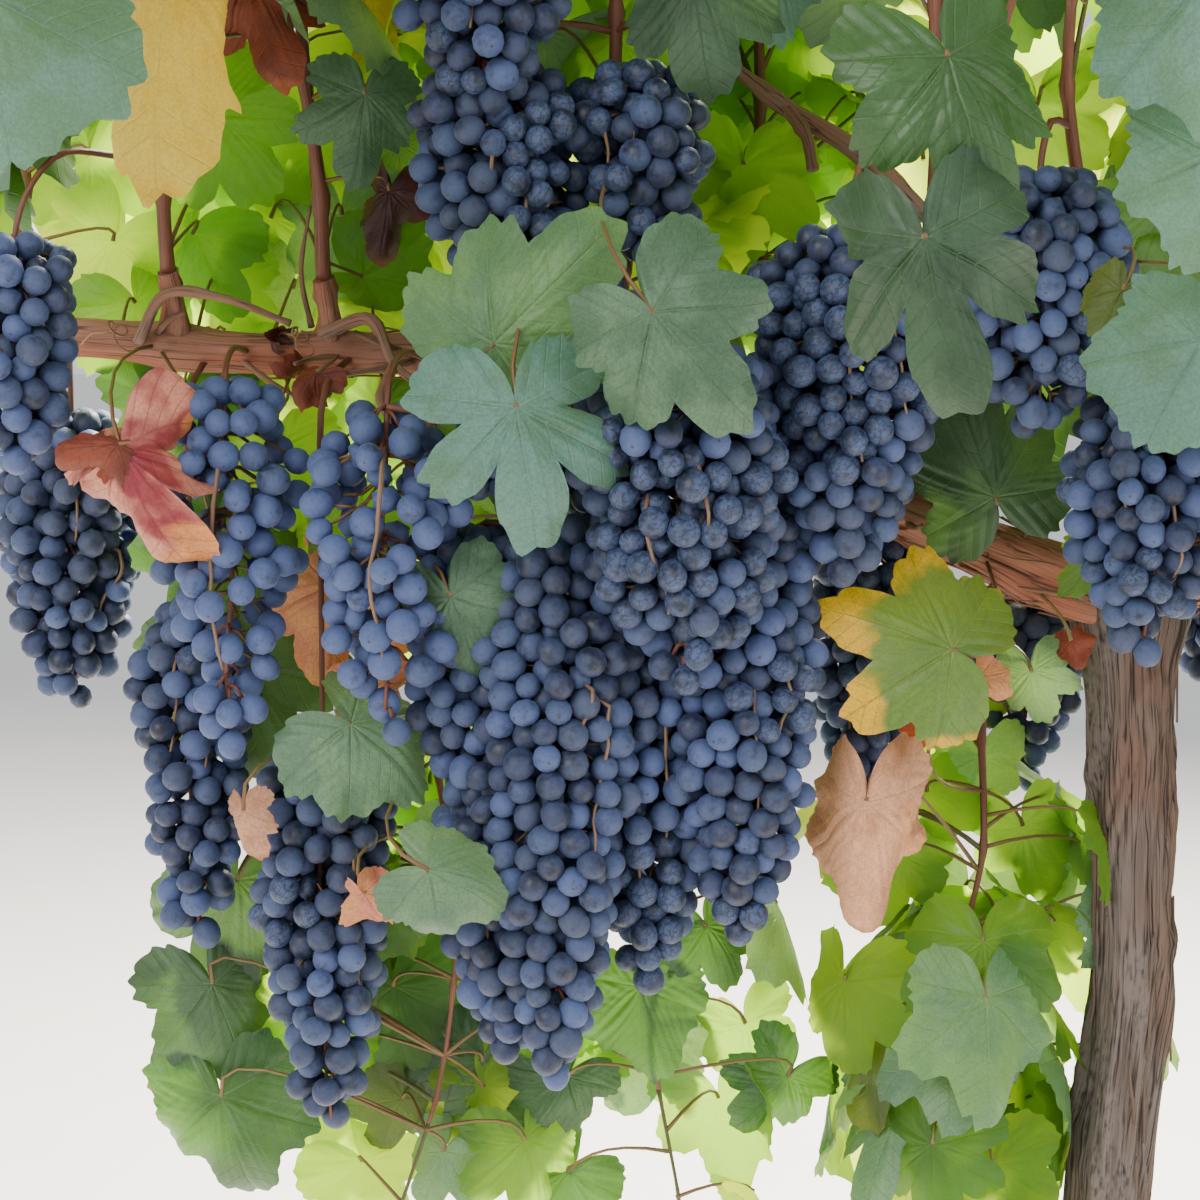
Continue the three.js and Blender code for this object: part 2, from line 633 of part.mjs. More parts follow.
// A bunch's stalk leaves the nearest shoot foot or arm above it and turns down into the fruit
function stalkLine(bunch, shoots) {
  const shoulder = vec(bunch.x, bunch.y, bunch.top + 4);
  const places = shoots.filter((shoot) => !shoot.trailing).flatMap((shoot) => (
    STALK_PLACES.map((distance) => along(shoot.line, distance))
  ));
  for (let reach = ARM_START + 56; reach < ARM_REACH; reach += 20) {
    places.push(armPoint(-1, reach), armPoint(1, reach));
  }
  const above = places.filter((place) => place.z > bunch.top + STALK_ARCH);
  const choices = above.length > 0 ? above : places;
  const start = choices.reduce((best, place) => (
    place.distanceTo(shoulder) < best.distanceTo(shoulder) ? place : best
  ));
  const bend = start.clone().lerp(shoulder, 0.6);
  bend.z = Math.max(start.z, shoulder.z) + STALK_ARCH;
  return [start, bend, shoulder, vec(bunch.x, bunch.y, bunch.top - 0.3 * bunch.length)];
}

function stalkBody(bunch, growth) {
  return limb(bunch.stalk, () => STALK_RADIUS + growth, STALK_SIDES, STALK_RINGS);
}

// Assembly

const bark = new THREE.MeshStandardMaterial({ color: 0x6f5a4a, roughness: 0.95, metalness: 0 });
const cane = new THREE.MeshStandardMaterial({ color: 0x8a5a38, roughness: 0.8, metalness: 0 });
const foliage = new THREE.MeshStandardMaterial({ color: 0x5c8446, roughness: 0.6, metalness: 0 });
const fruit = new THREE.MeshStandardMaterial({ color: 0x3f4e78, roughness: 0.55, metalness: 0 });

const vine = new THREE.Group();

function addMesh(name, solid, material) {
  const mesh = new THREE.Mesh(geometryOf(solid), material);
  mesh.name = name;
  vine.add(mesh);
}

function cutBy(solid, cutters) {
  const box = boxOf(solid);
  return cutters.filter((cutter) => cutter.box.intersectsBox(box))
    .reduce((rest, cutter) => rest.subtract(cutter.solid), solid);
}

const withBox = (solid) => ({ solid, box: boxOf(solid) });

function wholeArm(side, spurs, plans, growth) {
  const stubs = spurs.map((reach, number) => (
    spurBody(armPoint(side, reach), plans[number].face, growth)
  ));
  return wasm.Manifold.union([armBody(side, spurs, growth), ...stubs]);
}

const headSpur = (growth) => spurBody(HEAD_SPUR_FOOT, LEFT_SHOOTS[0].face, growth);
const trunkSolid = (growth) => trunkBody(growth).add(headSpur(growth));
const grownTrunk = withBox(trunkSolid(CUT_GAP));
const arms = [
  ['arm_left', -1, LEFT_SPURS, LEFT_SHOOTS.slice(1)],
  ['arm_right', 1, RIGHT_SPURS, rightPlans()],
];

const wood = [withBox(trunkSolid(0))];
const grownWood = [grownTrunk];
addMesh('trunk', wood[0].solid, bark);
for (const [name, side, spurs, plans] of arms) {
  const arm = largest(cutBy(wholeArm(side, spurs, plans, 0), [grownTrunk]));
  wood.push(withBox(arm));
  grownWood.push(withBox(wholeArm(side, spurs, plans, CUT_GAP)));
  addMesh(name, arm, cane);
}

const shoots = growShoots();
const stems = shoots.map((shoot) => (
  withBox(shoot.trailing ? largest(cutBy(shootBody(shoot, 0), grownWood)) : shootBody(shoot, 0))
));
const grownStems = shoots.map((shoot) => withBox(shootBody(shoot, CUT_GAP)));

const bunches = growBunches(shoots);
const grownStalks = bunches.map((bunch) => withBox(stalkBody(bunch, CUT_GAP)));
const clusters = [];
const grownFruit = [];
bunches.forEach((bunch, index) => {
  const otherStalks = grownStalks.filter((_, other) => other !== index);
  const cutters = [...otherStalks, ...grownFruit, ...grownStems, ...grownWood];
  const body = cutBy(fruitBody(bunch, 0), cutters);
  const stalk = cutBy(stalkBody(bunch, 0), [...grownStems, ...grownWood]);
  const cluster = largest(body.add(cutBy(stalk, grownStalks.slice(0, index))));
  clusters.push(withBox(cluster));
  grownFruit.push(withBox(fruitBody(bunch, CUT_GAP)));
  addMesh(bunch.name, cluster, fruit);
});

// What each shoot has grown so far: its stem and twigs, and its leaves
const limbsOf = stems.map((stem) => [stem]);
const leavesOf = stems.map(() => []);

function hasRoom(body, owner) {
  const limbs = limbsOf.flatMap((list, index) => (index === owner ? [] : list));
  return !touches(body.solid, body.box, [...wood, ...clusters, ...limbs, ...leavesOf.flat()]);
}

for (const choices of shownLeaves(shoots)) {
  const fit = choices.find((leaf) => hasRoom(leafBody(leaf, LEAF_TEST_GROWTH), leaf.owner));
  if (fit) leavesOf[fit.owner].push(leafBody(fit, 0));
}

shoots.forEach((shoot, owner) => {
  for (const { twig, leaves } of growthOf(shoot)) {
    const branch = twig ? withBox(limb(twig, () => TWIG_RADIUS, 3, 2)) : null;
    if (branch && !hasRoom(branch, owner)) continue;
    if (branch) limbsOf[owner].push(branch);
    for (const leaf of leaves) {
      const wide = leafBody(leaf, LEAF_TEST_GROWTH);
      if (inOwnSpace(wide.rim, owner, shoots) && hasRoom(wide, owner)) {
        leavesOf[owner].push(leafBody(leaf, 0));
      }
    }
  }
});

shoots.forEach((shoot, owner) => {
  const pieces = [...limbsOf[owner], ...leavesOf[owner]].map((piece) => piece.solid);
  addMesh(shoot.name, largest(wasm.Manifold.union(pieces)), foliage);
});

export default vine;
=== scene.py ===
# %% [markdown]
# # A grapevine in fruit
# The plain solids of a grapevine come in as a fixed frame: a trunk, two arms trained along a row,
# shoots that stand up from them, and bunches of dark blue grapes. This lesson dresses them. The
# wood gets a mesh with the bark's relief, and the shoots and bunches are grown again, berry by
# berry and leaf by leaf, with the rule that made the solids, so each stays in its own place.

# %% The fixed frame
from math import atan2, cos, hypot, pi, radians, sin
from types import SimpleNamespace as Record

import bpy
import numpy as np
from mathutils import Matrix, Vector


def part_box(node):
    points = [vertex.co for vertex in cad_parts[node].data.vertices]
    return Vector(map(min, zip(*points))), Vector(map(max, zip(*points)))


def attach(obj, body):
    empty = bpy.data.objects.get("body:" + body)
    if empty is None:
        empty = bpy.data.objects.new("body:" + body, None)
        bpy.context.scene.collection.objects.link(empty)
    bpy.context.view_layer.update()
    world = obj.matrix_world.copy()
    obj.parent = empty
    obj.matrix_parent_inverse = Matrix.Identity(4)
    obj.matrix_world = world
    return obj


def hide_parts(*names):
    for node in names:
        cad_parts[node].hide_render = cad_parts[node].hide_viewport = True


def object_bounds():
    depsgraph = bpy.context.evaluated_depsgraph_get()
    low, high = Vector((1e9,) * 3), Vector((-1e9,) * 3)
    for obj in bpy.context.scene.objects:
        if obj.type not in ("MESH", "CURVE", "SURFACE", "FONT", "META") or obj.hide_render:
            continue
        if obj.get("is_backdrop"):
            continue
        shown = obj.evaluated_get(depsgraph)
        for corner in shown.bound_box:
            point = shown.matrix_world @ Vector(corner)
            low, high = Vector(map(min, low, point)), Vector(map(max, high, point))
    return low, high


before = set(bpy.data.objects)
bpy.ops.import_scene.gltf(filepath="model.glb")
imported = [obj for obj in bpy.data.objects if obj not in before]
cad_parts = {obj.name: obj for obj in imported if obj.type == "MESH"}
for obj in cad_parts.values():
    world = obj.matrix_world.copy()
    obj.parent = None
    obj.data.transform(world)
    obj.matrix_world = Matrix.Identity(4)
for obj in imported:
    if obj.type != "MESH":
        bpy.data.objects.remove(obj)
CAD_LOW, CAD_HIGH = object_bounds()
NODES = sorted(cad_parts)
print(len(NODES), "solids, from", [round(v, 3) for v in CAD_LOW], "to", [round(v, 3) for v in CAD_HIGH])

# %% [markdown]
# ## The camera
# The picture is a close view from the front, a little above the fruit, through a long lens. The
# camera goes in first, because the pieces that show most are made finer.

# %% A long lens that looks down a little
CAMERA_PLACE = (-0.294, -1.442, 1.0896)
CAMERA_DIP = radians(6)


def placed(name, data):
    """A new object that holds data, in the scene."""
    thing = bpy.data.objects.new(name, data)
    bpy.context.scene.collection.objects.link(thing)
    return thing


camera_data = bpy.data.cameras.new("camera")
camera_data.lens = 77.7
camera_data.sensor_width = 36
camera = placed("camera", camera_data)
camera.location = CAMERA_PLACE
camera.rotation_euler = (pi / 2 - CAMERA_DIP, 0, 0)
bpy.context.scene.camera = camera
print("camera", camera_data.lens, "mm")

# %% [markdown]
# ## Numbers, directions and dice
# Everything is worked out with arrays, which is quick for thousands of leaves and berries. The
# dice are the source's own: the same seed gives the same throws, so the same plant grows again.

# %% Vectors, mixing and seeded dice
UP = np.array([0.0, 0.0, 1.0])


def vec(x, y, z):
    return np.array([x, y, z], float)


def mm(*values):
    """Millimetres as metres."""
    return np.array(values) / 1000


def unit(way):
    return way / np.linalg.norm(way, axis=-1, keepdims=True)


def mix(low, high, share):
    return low + (high - low) * share


def turned(way, axis, angle):
    """way, turned about axis by angle."""
    return (
        way * cos(angle)
        + np.cross(axis, way) * sin(angle)
        + axis * axis.dot(way) * (1 - cos(angle))
    )


def all_round(count):
    """The angles of count corners, all the way round."""
    return np.arange(count) * 2 * pi / count


def bent(start, bend, tip, share):
    """Points at shares of a line that leaves start, pulled towards bend, and ends at tip."""
    share = np.asarray(share)[..., None]
    return start * (1 - share) ** 2 + 2 * bend * share * (1 - share) + tip * share**2


def dice(seed):
    """A throw between two numbers, or from 0 to 1. One seed gives the same throws each time."""
    state = (seed * 2654435761) % 2**32

    def throw(low=0, high=1):
        nonlocal state
        state = (state * 1664525 + 1013904223) % 2**32
        return mix(low, high, state / 2**32)

    return throw


first_dice = dice(1)
print("first throws of the first dice:", round(first_dice(), 3), round(first_dice(), 3))

# %% Smooth noise in space, the same on every run


def lattice(x, y, z, seed):
    """A number from 0 to 1 for each point of a grid."""
    mixed = (x * 73856093) ^ (y * 19349663) ^ (z * 83492791) ^ (seed * 668265263)
    mixed = mixed & 0xFFFFFFFF
    mixed = ((mixed ^ (mixed >> 15)) * 739982445) & 0xFFFFFFFF
    mixed = ((mixed ^ (mixed >> 12)) * 695872825) & 0xFFFFFFFF
    return (mixed ^ (mixed >> 15)) / 0xFFFFFFFF


def noise(points, scale, seed):
    """Noise from -1 to 1. scale is in cells to the metre, one for all axes or one for each."""
    places = np.asarray(points) * np.asarray(scale, float)
    cell = np.floor(places)
    inside = places - cell
    inside = inside * inside * (3 - 2 * inside)
    cell = cell.astype(np.int64)
    total = 0.0
    for corner in np.ndindex(2, 2, 2):
        corner = np.array(corner)
        weight = np.prod(np.where(corner, inside, 1 - inside), axis=-1)
        total = total + weight * lattice(*np.moveaxis(cell + corner, -1, 0), seed)
    return 2 * total - 1


print("noise at one point:", round(float(noise(vec(0.1, 0.2, 0.3), 10, 1)), 3))

# %% Smooth lines through a few points


def smooth_line(points, count):
    """A smooth line through points, as count + 1 points at even distances along it."""
    points = np.asarray(points, float)
    first = 2 * points[0] - points[1]
    last = 2 * points[-1] - points[-2]
    padded = np.vstack([first, points, last])
    dense = []
    for index in range(len(points) - 1):
        p0, p1, p2, p3 = padded[index : index + 4]
        t1 = np.linalg.norm(p1 - p0) ** 0.5
        t2 = t1 + np.linalg.norm(p2 - p1) ** 0.5
        t3 = t2 + np.linalg.norm(p3 - p2) ** 0.5
        t = np.linspace(t1, t2, 41)[:-1, None]
        a1 = p0 * (t1 - t) / t1 + p1 * t / t1
        a2 = p1 * (t2 - t) / (t2 - t1) + p2 * (t - t1) / (t2 - t1)
        a3 = p2 * (t3 - t) / (t3 - t2) + p3 * (t - t2) / (t3 - t2)
        b1 = a1 * (t2 - t) / t2 + a2 * t / t2
        b2 = a2 * (t3 - t) / (t3 - t1) + a3 * (t - t1) / (t3 - t1)
        dense.append(b1 * (t2 - t) / (t2 - t1) + b2 * (t - t1) / (t2 - t1))
    dense = np.vstack([*dense, points[-1:]])
    return spaced(dense, count)


def lengths_along(line):
    """How far each point of a line is from its start, along it."""
    steps = np.linalg.norm(np.diff(line, axis=0), axis=1)
    return np.concatenate([[0.0], np.cumsum(steps)])


def length_of(line):
    return lengths_along(line)[-1]


def along(line, distance):
    """The points at these distances along a line."""
    reached = lengths_along(line)
    return np.stack([np.interp(distance, reached, line[:, axis]) for axis in range(3)], axis=-1)


def spaced(line, count):
    return along(line, np.linspace(0, length_of(line), count + 1))


print("a smooth line:", len(smooth_line([vec(0, 0, 0), vec(0, 0, 1), vec(1, 0, 1)], 10)), "points")

# %% [markdown]
# ## Piles of small shapes
# Leaves, berries and stems come in thousands. Each kind is gathered as arrays in a pile and joined
# into one mesh, which stays quick to build and to draw, and needs no particles.

# %% A pile of triangles that becomes one mesh
ALL_PIECES = []


class Pile:
    """Points, triangles and the places that finishes read, gathered for one mesh."""

    def __init__(self):
        self.points = []
        self.faces = []
        self.places = []
        self.count = 0

    def add(self, points, faces, places):
        """points is (n, 3) or (copies, n, 3); the faces and places are those of one copy."""
        points = np.asarray(points, float).reshape(-1, len(places), 3)
        copies = len(points)
        starts = self.count + len(places) * np.arange(copies)[:, None, None]
        self.points.append(points.reshape(-1, 3))
        self.faces.append((faces[None] + starts).reshape(-1, 3))
        self.places.append(np.tile(places, (copies, 1)))
        self.count += copies * len(places)

    def make(self, name, material, slot, stands_for=()):
        if not self.faces:
            return
        points = np.concatenate(self.points)
        corners = np.concatenate(self.faces).ravel()
        places = np.concatenate(self.places)
        mesh = bpy.data.meshes.new(name)
        mesh.vertices.add(len(points))
        mesh.vertices.foreach_set("co", points.astype(np.float32).ravel())
        mesh.loops.add(len(corners))
        mesh.loops.foreach_set("vertex_index", corners.astype(np.int32))
        mesh.polygons.add(len(corners) // 3)
        mesh.polygons.foreach_set("loop_start", np.arange(0, len(corners), 3, dtype=np.int32))
        layer = mesh.uv_layers.new(name="place")
        layer.data.foreach_set("uv", places[corners].astype(np.float32).ravel())
        mesh.update(calc_edges=True)
        mesh.shade_smooth()
        mesh.materials.append(material)
        piece = placed(name, mesh)
        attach(piece, "root")
        if stands_for:
            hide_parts(*stands_for)
        ALL_PIECES.append((name, len(corners) // 3))
        print(name, len(corners) // 3, "triangles")


# %% Tubes, for trunk, arms, canes and stalks


def frames_along(line):
    """Two directions square to the line at each of its points, which don't twist about it."""
    ahead = unit(np.gradient(line, axis=0))
    start = vec(1, 0, 0) if abs(ahead[0][0]) < 0.9 else vec(0, 1, 0)
    sides = [unit(start - ahead[0] * ahead[0].dot(start))]
    for way in ahead[1:]:
        sides.append(unit(sides[-1] - way * way.dot(sides[-1])))
    sides = np.array(sides)
    return sides, np.cross(ahead, sides)


def tube_faces(rings, around):
    """Triangles between rings of points, and over both ends to one point each."""
    ring = np.arange(rings - 1)[:, None] * around
    step = np.arange(around)[None]
    following = (step + 1) % around
    a, b = ring + step, ring + following
    c, d = a + around, b + around
    wall = np.stack([np.stack([a, b, d], -1), np.stack([a, d, c], -1)], 2).reshape(-1, 3)
    foot, tip = rings * around, rings * around + 1
    step, following = step[0], following[0]
    last = (rings - 1) * around
    start = np.stack([np.full(around, foot), following, step], -1)
    end = np.stack([np.full(around, tip), last + step, last + following], -1)
    return np.vstack([wall, start, end])


def add_tube(pile, line, radii, around):
    """A closed tube: radii holds a number for each point of the line, or one for each corner."""
    line = np.asarray(line, float)
    sides, ups = frames_along(line)
    angles = all_round(around)
    radii = np.asarray(radii, float)
    radii = radii[:, None] if radii.ndim == 1 else radii
    across = (radii * np.cos(angles))[..., None] * sides[:, None]
    upward = (radii * np.sin(angles))[..., None] * ups[:, None]
    rings = line[:, None] + across + upward
    points = np.vstack([rings.reshape(-1, 3), line[:1], line[-1:]])
    reached = lengths_along(line)
    places = np.stack(np.broadcast_arrays(angles[None] / (2 * pi), reached[:, None]), -1)
    places = np.vstack([places.reshape(-1, 2), [[0, 0], [0, reached[-1]]]])
    pile.add(points, tube_faces(len(line), around), places)


print("a tube of 3 rings by 6 has", len(tube_faces(3, 6)), "triangles")

# %% [markdown]
# ## Colours and finishes
# Colours are given as screen values and turned into the linear numbers that shaders use.
# Effects that several finishes share are node groups with named sockets, built once: streaks for
# wood and canes, and the veins and blotches of a leaf. Each piece carries its places in a map: how
# far round and along a stem, or how far across and along a blade, so a pattern follows its form.

# %% Screen colours and node helpers


def paint(red, green, blue):
    """A screen colour, 0 to 255, as the linear colour a shader takes."""
    channels = np.array([red, green, blue]) / 255
    linear = np.where(channels <= 0.04045, channels / 12.92, ((channels + 0.055) / 1.055) ** 2.4)
    return (*[float(c) for c in linear], 1.0)


class Nodes:
    """Short ways to add and join nodes in one tree."""

    def __init__(self, tree):
        self.tree = tree

    def put(self, socket, value):
        """A link if value is a socket, a colour if it is three screen values, else a plain value."""
        if isinstance(value, bpy.types.NodeSocket):
            self.tree.links.new(value, socket)
        elif value is not None:
            is_screen_colour = socket.type == "RGBA" and len(value) == 3
            socket.default_value = paint(*value) if is_screen_colour else value

    def fill(self, node, values):
        """Puts values into a node's inputs, by name or in turn."""
        for label, value in values.items() if isinstance(values, dict) else enumerate(values):
            self.put(node.inputs[label], value)

    def add(self, kind, values=(), **settings):
        """A new node's outputs."""
        node = self.tree.nodes.new("ShaderNode" + kind)
        for name, setting in settings.items():
            setattr(node, name, setting)
        self.fill(node, values)
        return node.outputs

    def math(self, operation, first, second=None, clamp=False):
        return self.add("Math", (first, second), operation=operation, use_clamp=clamp)[0]

    def plus(self, first, second):
        return self.math("ADD", first, second)

    def minus(self, first, second, clamp=False):
        return self.math("SUBTRACT", first, second, clamp)

    def times(self, first, second):
        return self.math("MULTIPLY", first, second)

    def off_half(self, value):
        """How far value is from a half, either way."""
        return self.math("ABSOLUTE", self.minus(value, 0.5))

    def blend(self, share, first, second, kind="MIX"):
        """A mix of two colours, which are the node's inputs 6 and 7."""
        return self.add("Mix", {0: share, 6: first, 7: second}, data_type="RGBA", blend_type=kind)[2]

    def ramp(self, value, low, high, to_low=0.0, to_high=1.0):
        values = value, low, high, to_low, to_high
        return self.add("MapRange", values, interpolation_type="SMOOTHSTEP")[0]

    def noise(self, place, scale, detail, stretch=None):
        if stretch:
            place = self.add("Mapping", {"Vector": place, "Scale": stretch})[0]
        return self.add("TexNoise", {"Vector": place, "Scale": scale, "Detail": detail})["Fac"]

    def edges(self, place, scale, space="3D"):
        """How far each point is from the edge of its cell."""
        kind = {"feature": "DISTANCE_TO_EDGE", "voronoi_dimensions": space}
        return self.add("TexVoronoi", {"Vector": place, "Scale": scale}, **kind)["Distance"]

    def moved(self, place, amount, by):
        """place, moved along each axis by amount times by."""
        return self.add("VectorMath", (by, amount, place), operation="MULTIPLY_ADD")[0]


SOCKET_KINDS = {type(None): "NodeSocketVector", float: "NodeSocketFloat", tuple: "NodeSocketColor"}


def new_group(name, takes, gives):
    """A node group: its inputs by name, each with its default or None for a place, and outputs."""
    tree = bpy.data.node_groups.new(name, "ShaderNodeTree")
    for label, default in takes.items():
        kind = SOCKET_KINDS[type(default)]
        socket = tree.interface.new_socket(name=label, in_out="INPUT", socket_type=kind)
        if default is not None:
            socket.default_value = default
    for label, kind in gives.items():
        tree.interface.new_socket(name=label, in_out="OUTPUT", socket_type="NodeSocket" + kind)
    print("group", name)
    inside, end = (tree.nodes.new(kind) for kind in ("NodeGroupInput", "NodeGroupOutput"))
    return tree, Nodes(tree), inside.outputs, end


def new_material(name):
    """An empty material, its node helper and its Principled shader."""
    material = bpy.data.materials.new(name)
    material.use_nodes = True
    return material, Nodes(material.node_tree), material.node_tree.nodes["Principled BSDF"]


def patterned_material(name, group, values, relief, depth):
    """A material with its relief from a group, which reads the map and, if it asks, the spot."""
    material, nodes, shader = new_material(name)
    values["Place"] = nodes.add("UVMap", uv_map="place")[0]
    if "Spot" in group.interface.items_tree:
        values["Spot"] = nodes.add("TexCoord")["Object"]
    pattern = nodes.add("Group", values, node_tree=group)
    bump = nodes.add("Bump", {"Strength": relief, "Distance": depth, "Height": pattern["Height"]})
    nodes.put(shader.inputs["Normal"], bump[0])
    return material, nodes, shader, pattern


print("leaf green as linear:", [round(c, 3) for c in paint(96, 128, 88)])

# %% [markdown]
# ## Where the wood and the shoots run
# These are the source's rules again, in metres: the line of each arm, the spurs that pruning has
# left on it, and the habit of each shoot, which leans along the row and bends over at its tip.
# The solids hold no such lines, and canes and leaves need them, so the rules are run again.

# %% Where the arms and their spurs run
TRUNK_HEIGHT = 0.972
TRUNK_LINE = [
    mm(0, 0, 0), mm(-9, 4, 190), mm(-8, 6, 420), mm(-1, 4, 620),
    mm(7, 0, 720), mm(6, 0, 825), mm(3, 0, 925), vec(0, 0, TRUNK_HEIGHT),
]
ARM_START = 0.014
ARM_REACH = 0.690
ARM_FOOT_HEIGHT = 0.944
ARM_CLIMB = 0.136
CLIMB_REACH = 0.5
CLIMB_POWER = 1.3
ARM_SNAKE = 0.006
SNAKE_PITCH = 0.055
ARM_RIPPLE = 0.004
RIPPLE_PITCH = 0.037
SPUR_LENGTH = 0.046
HEAD_SPUR_FOOT = mm(-20, -8, 944)
LEFT_SPURS = [0.115, 0.200, 0.283, 0.360, 0.445, 0.530, 0.620]
RIGHT_SPURS = [0.062 + 0.082 * number for number in range(8)]
SHOOT_SPLAY = radians(26)


def arm_point(side, reach):
    climb = sin(min(1, reach / CLIMB_REACH) * pi / 2) ** CLIMB_POWER
    ripple = ARM_RIPPLE * sin(reach / RIPPLE_PITCH + 2 * side)
    snake = ARM_SNAKE * sin(reach / SNAKE_PITCH + side)
    return vec(side * reach, snake, ARM_FOOT_HEIGHT + ARM_CLIMB * climb + ripple)


def arm_radius(reach):
    return 0.0105 + 0.0095 * np.exp(-reach / 0.150)


def spur_heading(face):
    return vec(0, face * sin(SHOOT_SPLAY), cos(SHOOT_SPLAY))


print("the left arm ends at", arm_point(-1, ARM_REACH).round(3))

# %% The shoots
END_GAP = 0.0006
SHOOT_STEPS = 24
SETTLED_SPLAY = radians(5)
SETTLES_AT = 0.2
BENDS_FROM = 0.22
SWAY = 5
RIGHT_SHOOT_SEED = 17
WEEPING_RIGHT_SHOOTS = [4, 7]
LEAF_SEED = 101
# Face, lean, bend in degrees, how late it bends, length and thickness, from the trunk outwards
LEFT_SHOOTS = [
    (-1, 14, 180, 0.85, 0.690, 0.0063), (-1, 2, 52, 3, 0.930, 0.0056),
    (1, 1, 40, 3, 0.950, 0.0050), (-1, 3, 34, 3, 0.940, 0.0049),
    (1, 5, 62, 3, 0.950, 0.0049), (-1, 7, 60, 3, 0.930, 0.0048),
    (-1, 2, 185, 0.75, 0.630, 0.0048), (1, 9, 58, 2.4, 0.900, 0.0046),
]
TRAILING_THICK = 0.0038
TRAILING_SHOOTS = [
    (-1, 0.066, mm(-72, 32, 900), mm(-80, -4, 790), mm(-96, 6, 690),
     mm(-88, 10, 600)),
    (-1, 0.236, mm(-244, 38, 930), mm(-250, 18, 820), mm(-262, 4, 700),
     mm(-250, 0, 590)),
    (-1, 0.392, mm(-388, 30, 980), mm(-384, -14, 860), mm(-376, 6, 720),
     mm(-414, 0, 560)),
    (1, 0.186, mm(194, 40, 920), mm(206, 20, 800), mm(190, 8, 690),
     mm(214, 0, 570)),
    (1, 0.432, mm(440, 38, 970), mm(430, 10, 840), mm(446, 0, 720),
     mm(426, 6, 600)),
]


def right_plans():
    throw = dice(RIGHT_SHOOT_SEED)
    plans = []
    for number in range(len(RIGHT_SPURS)):
        weeps = number + 1 in WEEPING_RIGHT_SHOOTS
        lean = 2 * number - 5 + 3 * throw()
        bend = 180 if weeps else throw(30, 66)
        late = 0.9 if weeps else throw(2.4, 3.2)
        length = 0.680 if weeps else throw(0.890, 0.960)
        thick = throw(0.0046, 0.0054)
        plans.append((1 if number % 2 == 0 else -1, lean, bend, late, length, thick))
    return plans


def shoot_line(foot, side, plan, seed):
    face, lean_most, bend, late, length, _ = plan
    sway = dice(seed)() * 2 * pi
    line = [foot + spur_heading(face) * (SPUR_LENGTH + END_GAP)]
    for step in range(SHOOT_STEPS):
        share = step / SHOOT_STEPS
        settled = min(1, share / SETTLES_AT)
        lean = radians((lean_most + SWAY * sin(9 * share + sway)) * settled)
        over = max(0, (share - BENDS_FROM) / (1 - BENDS_FROM)) ** late
        tip = mix(SHOOT_SPLAY, SETTLED_SPLAY, settled) + radians(bend) * over
        heading = vec(side * sin(lean), face * sin(tip), cos(tip) * cos(lean))
        line.append(line[-1] + unit(heading) * length / SHOOT_STEPS)
    return np.array(line)


def grow_shoots():
    shoots = []

    def grow(name, line, face, thick, trailing):
        low, high = (np.array(corner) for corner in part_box(name))
        shoots.append(Record(name=name, line=line, face=face, thick=thick, trailing=trailing,
                             seed=len(shoots) + LEAF_SEED, low=low, high=high))

    left_feet = [HEAD_SPUR_FOOT] + [arm_point(-1, reach) for reach in LEFT_SPURS]
    right_feet = [arm_point(1, reach) for reach in RIGHT_SPURS]
    for side, word, feet, plans in (
        (-1, "left", left_feet, LEFT_SHOOTS), (1, "right", right_feet, right_plans()),
    ):
        for number, (foot, plan) in enumerate(zip(feet, plans)):
            line = shoot_line(foot, side, plan, len(shoots) + 1)
            grow(f"shoot_{word}_{number + 1}", line, plan[0], plan[5], False)
    for number, (side, reach, *hang) in enumerate(TRAILING_SHOOTS):
        line = smooth_line([arm_point(side, reach), *hang], SHOOT_STEPS)
        face = 1 if number % 2 == 0 else -1
        grow(f"trailing_shoot_{number + 1}", line, face, TRAILING_THICK, True)
    return shoots


shoots = grow_shoots()
off = max(np.abs(np.clip(s.line, s.low, s.high) - s.line).max() for s in shoots)
print(len(shoots), "shoots; their lines leave their solids' boxes by", round(off * 1000, 1), "mm")

# %% [markdown]
# ## Where the bunches hang
# A bunch is widest at its shoulders and pointed below. Each hangs from a stalk that leaves the
# nearest cane above it. Two bunches are loose and show their stems. A bunch is kept as a top, a
# length and a width, which is enough to fill it with berries and to keep leaves out of it.

# %% The bunches
FULL = 0.70
LOOSE = 0.34
# In millimetres: the middle line's x and y, the top, the length and the width. The first are loose.
LOOSE_COUNT = 2
LEFT_BUNCHES = [
    (-487, -105, 1062, 196, 78), (-402, -130, 1050, 172, 82), (-444, -58, 870, 236, 74),
    (-520, -20, 940, 214, 60), (-318, -110, 991, 300, 84), (-268, -80, 966, 232, 78),
    (-219, -100, 978, 212, 78), (-252, -146, 1079, 172, 104), (-168, -120, 1139, 180, 94),
    (-353, -130, 1306, 112, 80), (-345, -105, 1222, 132, 84), (-272, -96, 1222, 100, 74),
    (-299, -84, 1114, 144, 68), (-70, -110, 1168, 134, 90), (-12, -105, 1062, 146, 82),
    (-141, 24, 981, 214, 62), (-44, 74, 942, 124, 66), (-592, -112, 1136, 120, 64),
    (-300, 84, 1030, 190, 84), (-470, 88, 1050, 176, 82), (-600, 60, 1040, 180, 86),
]
# A side lobe of a bunch: the bunch's number, then the same measures
WINGS = [
    (2, -347, -130, 1040, 36, 54), (9, -203, -100, 1075, 150, 62), (5, -362, -96, 985, 160, 62),
    (5, -343, -90, 860, 160, 70),
]
RIGHT_BUNCH_SEED = 71
BEHIND_NEARER = 0.014
BUNCH_DEPTH = 0.9
SHOULDER = 0.24
STALK_ARCH = 0.008
STALK_PLACES = np.array([0.012, 0.030, 0.060, 0.095, 0.130, 0.170, 0.220, 0.270])


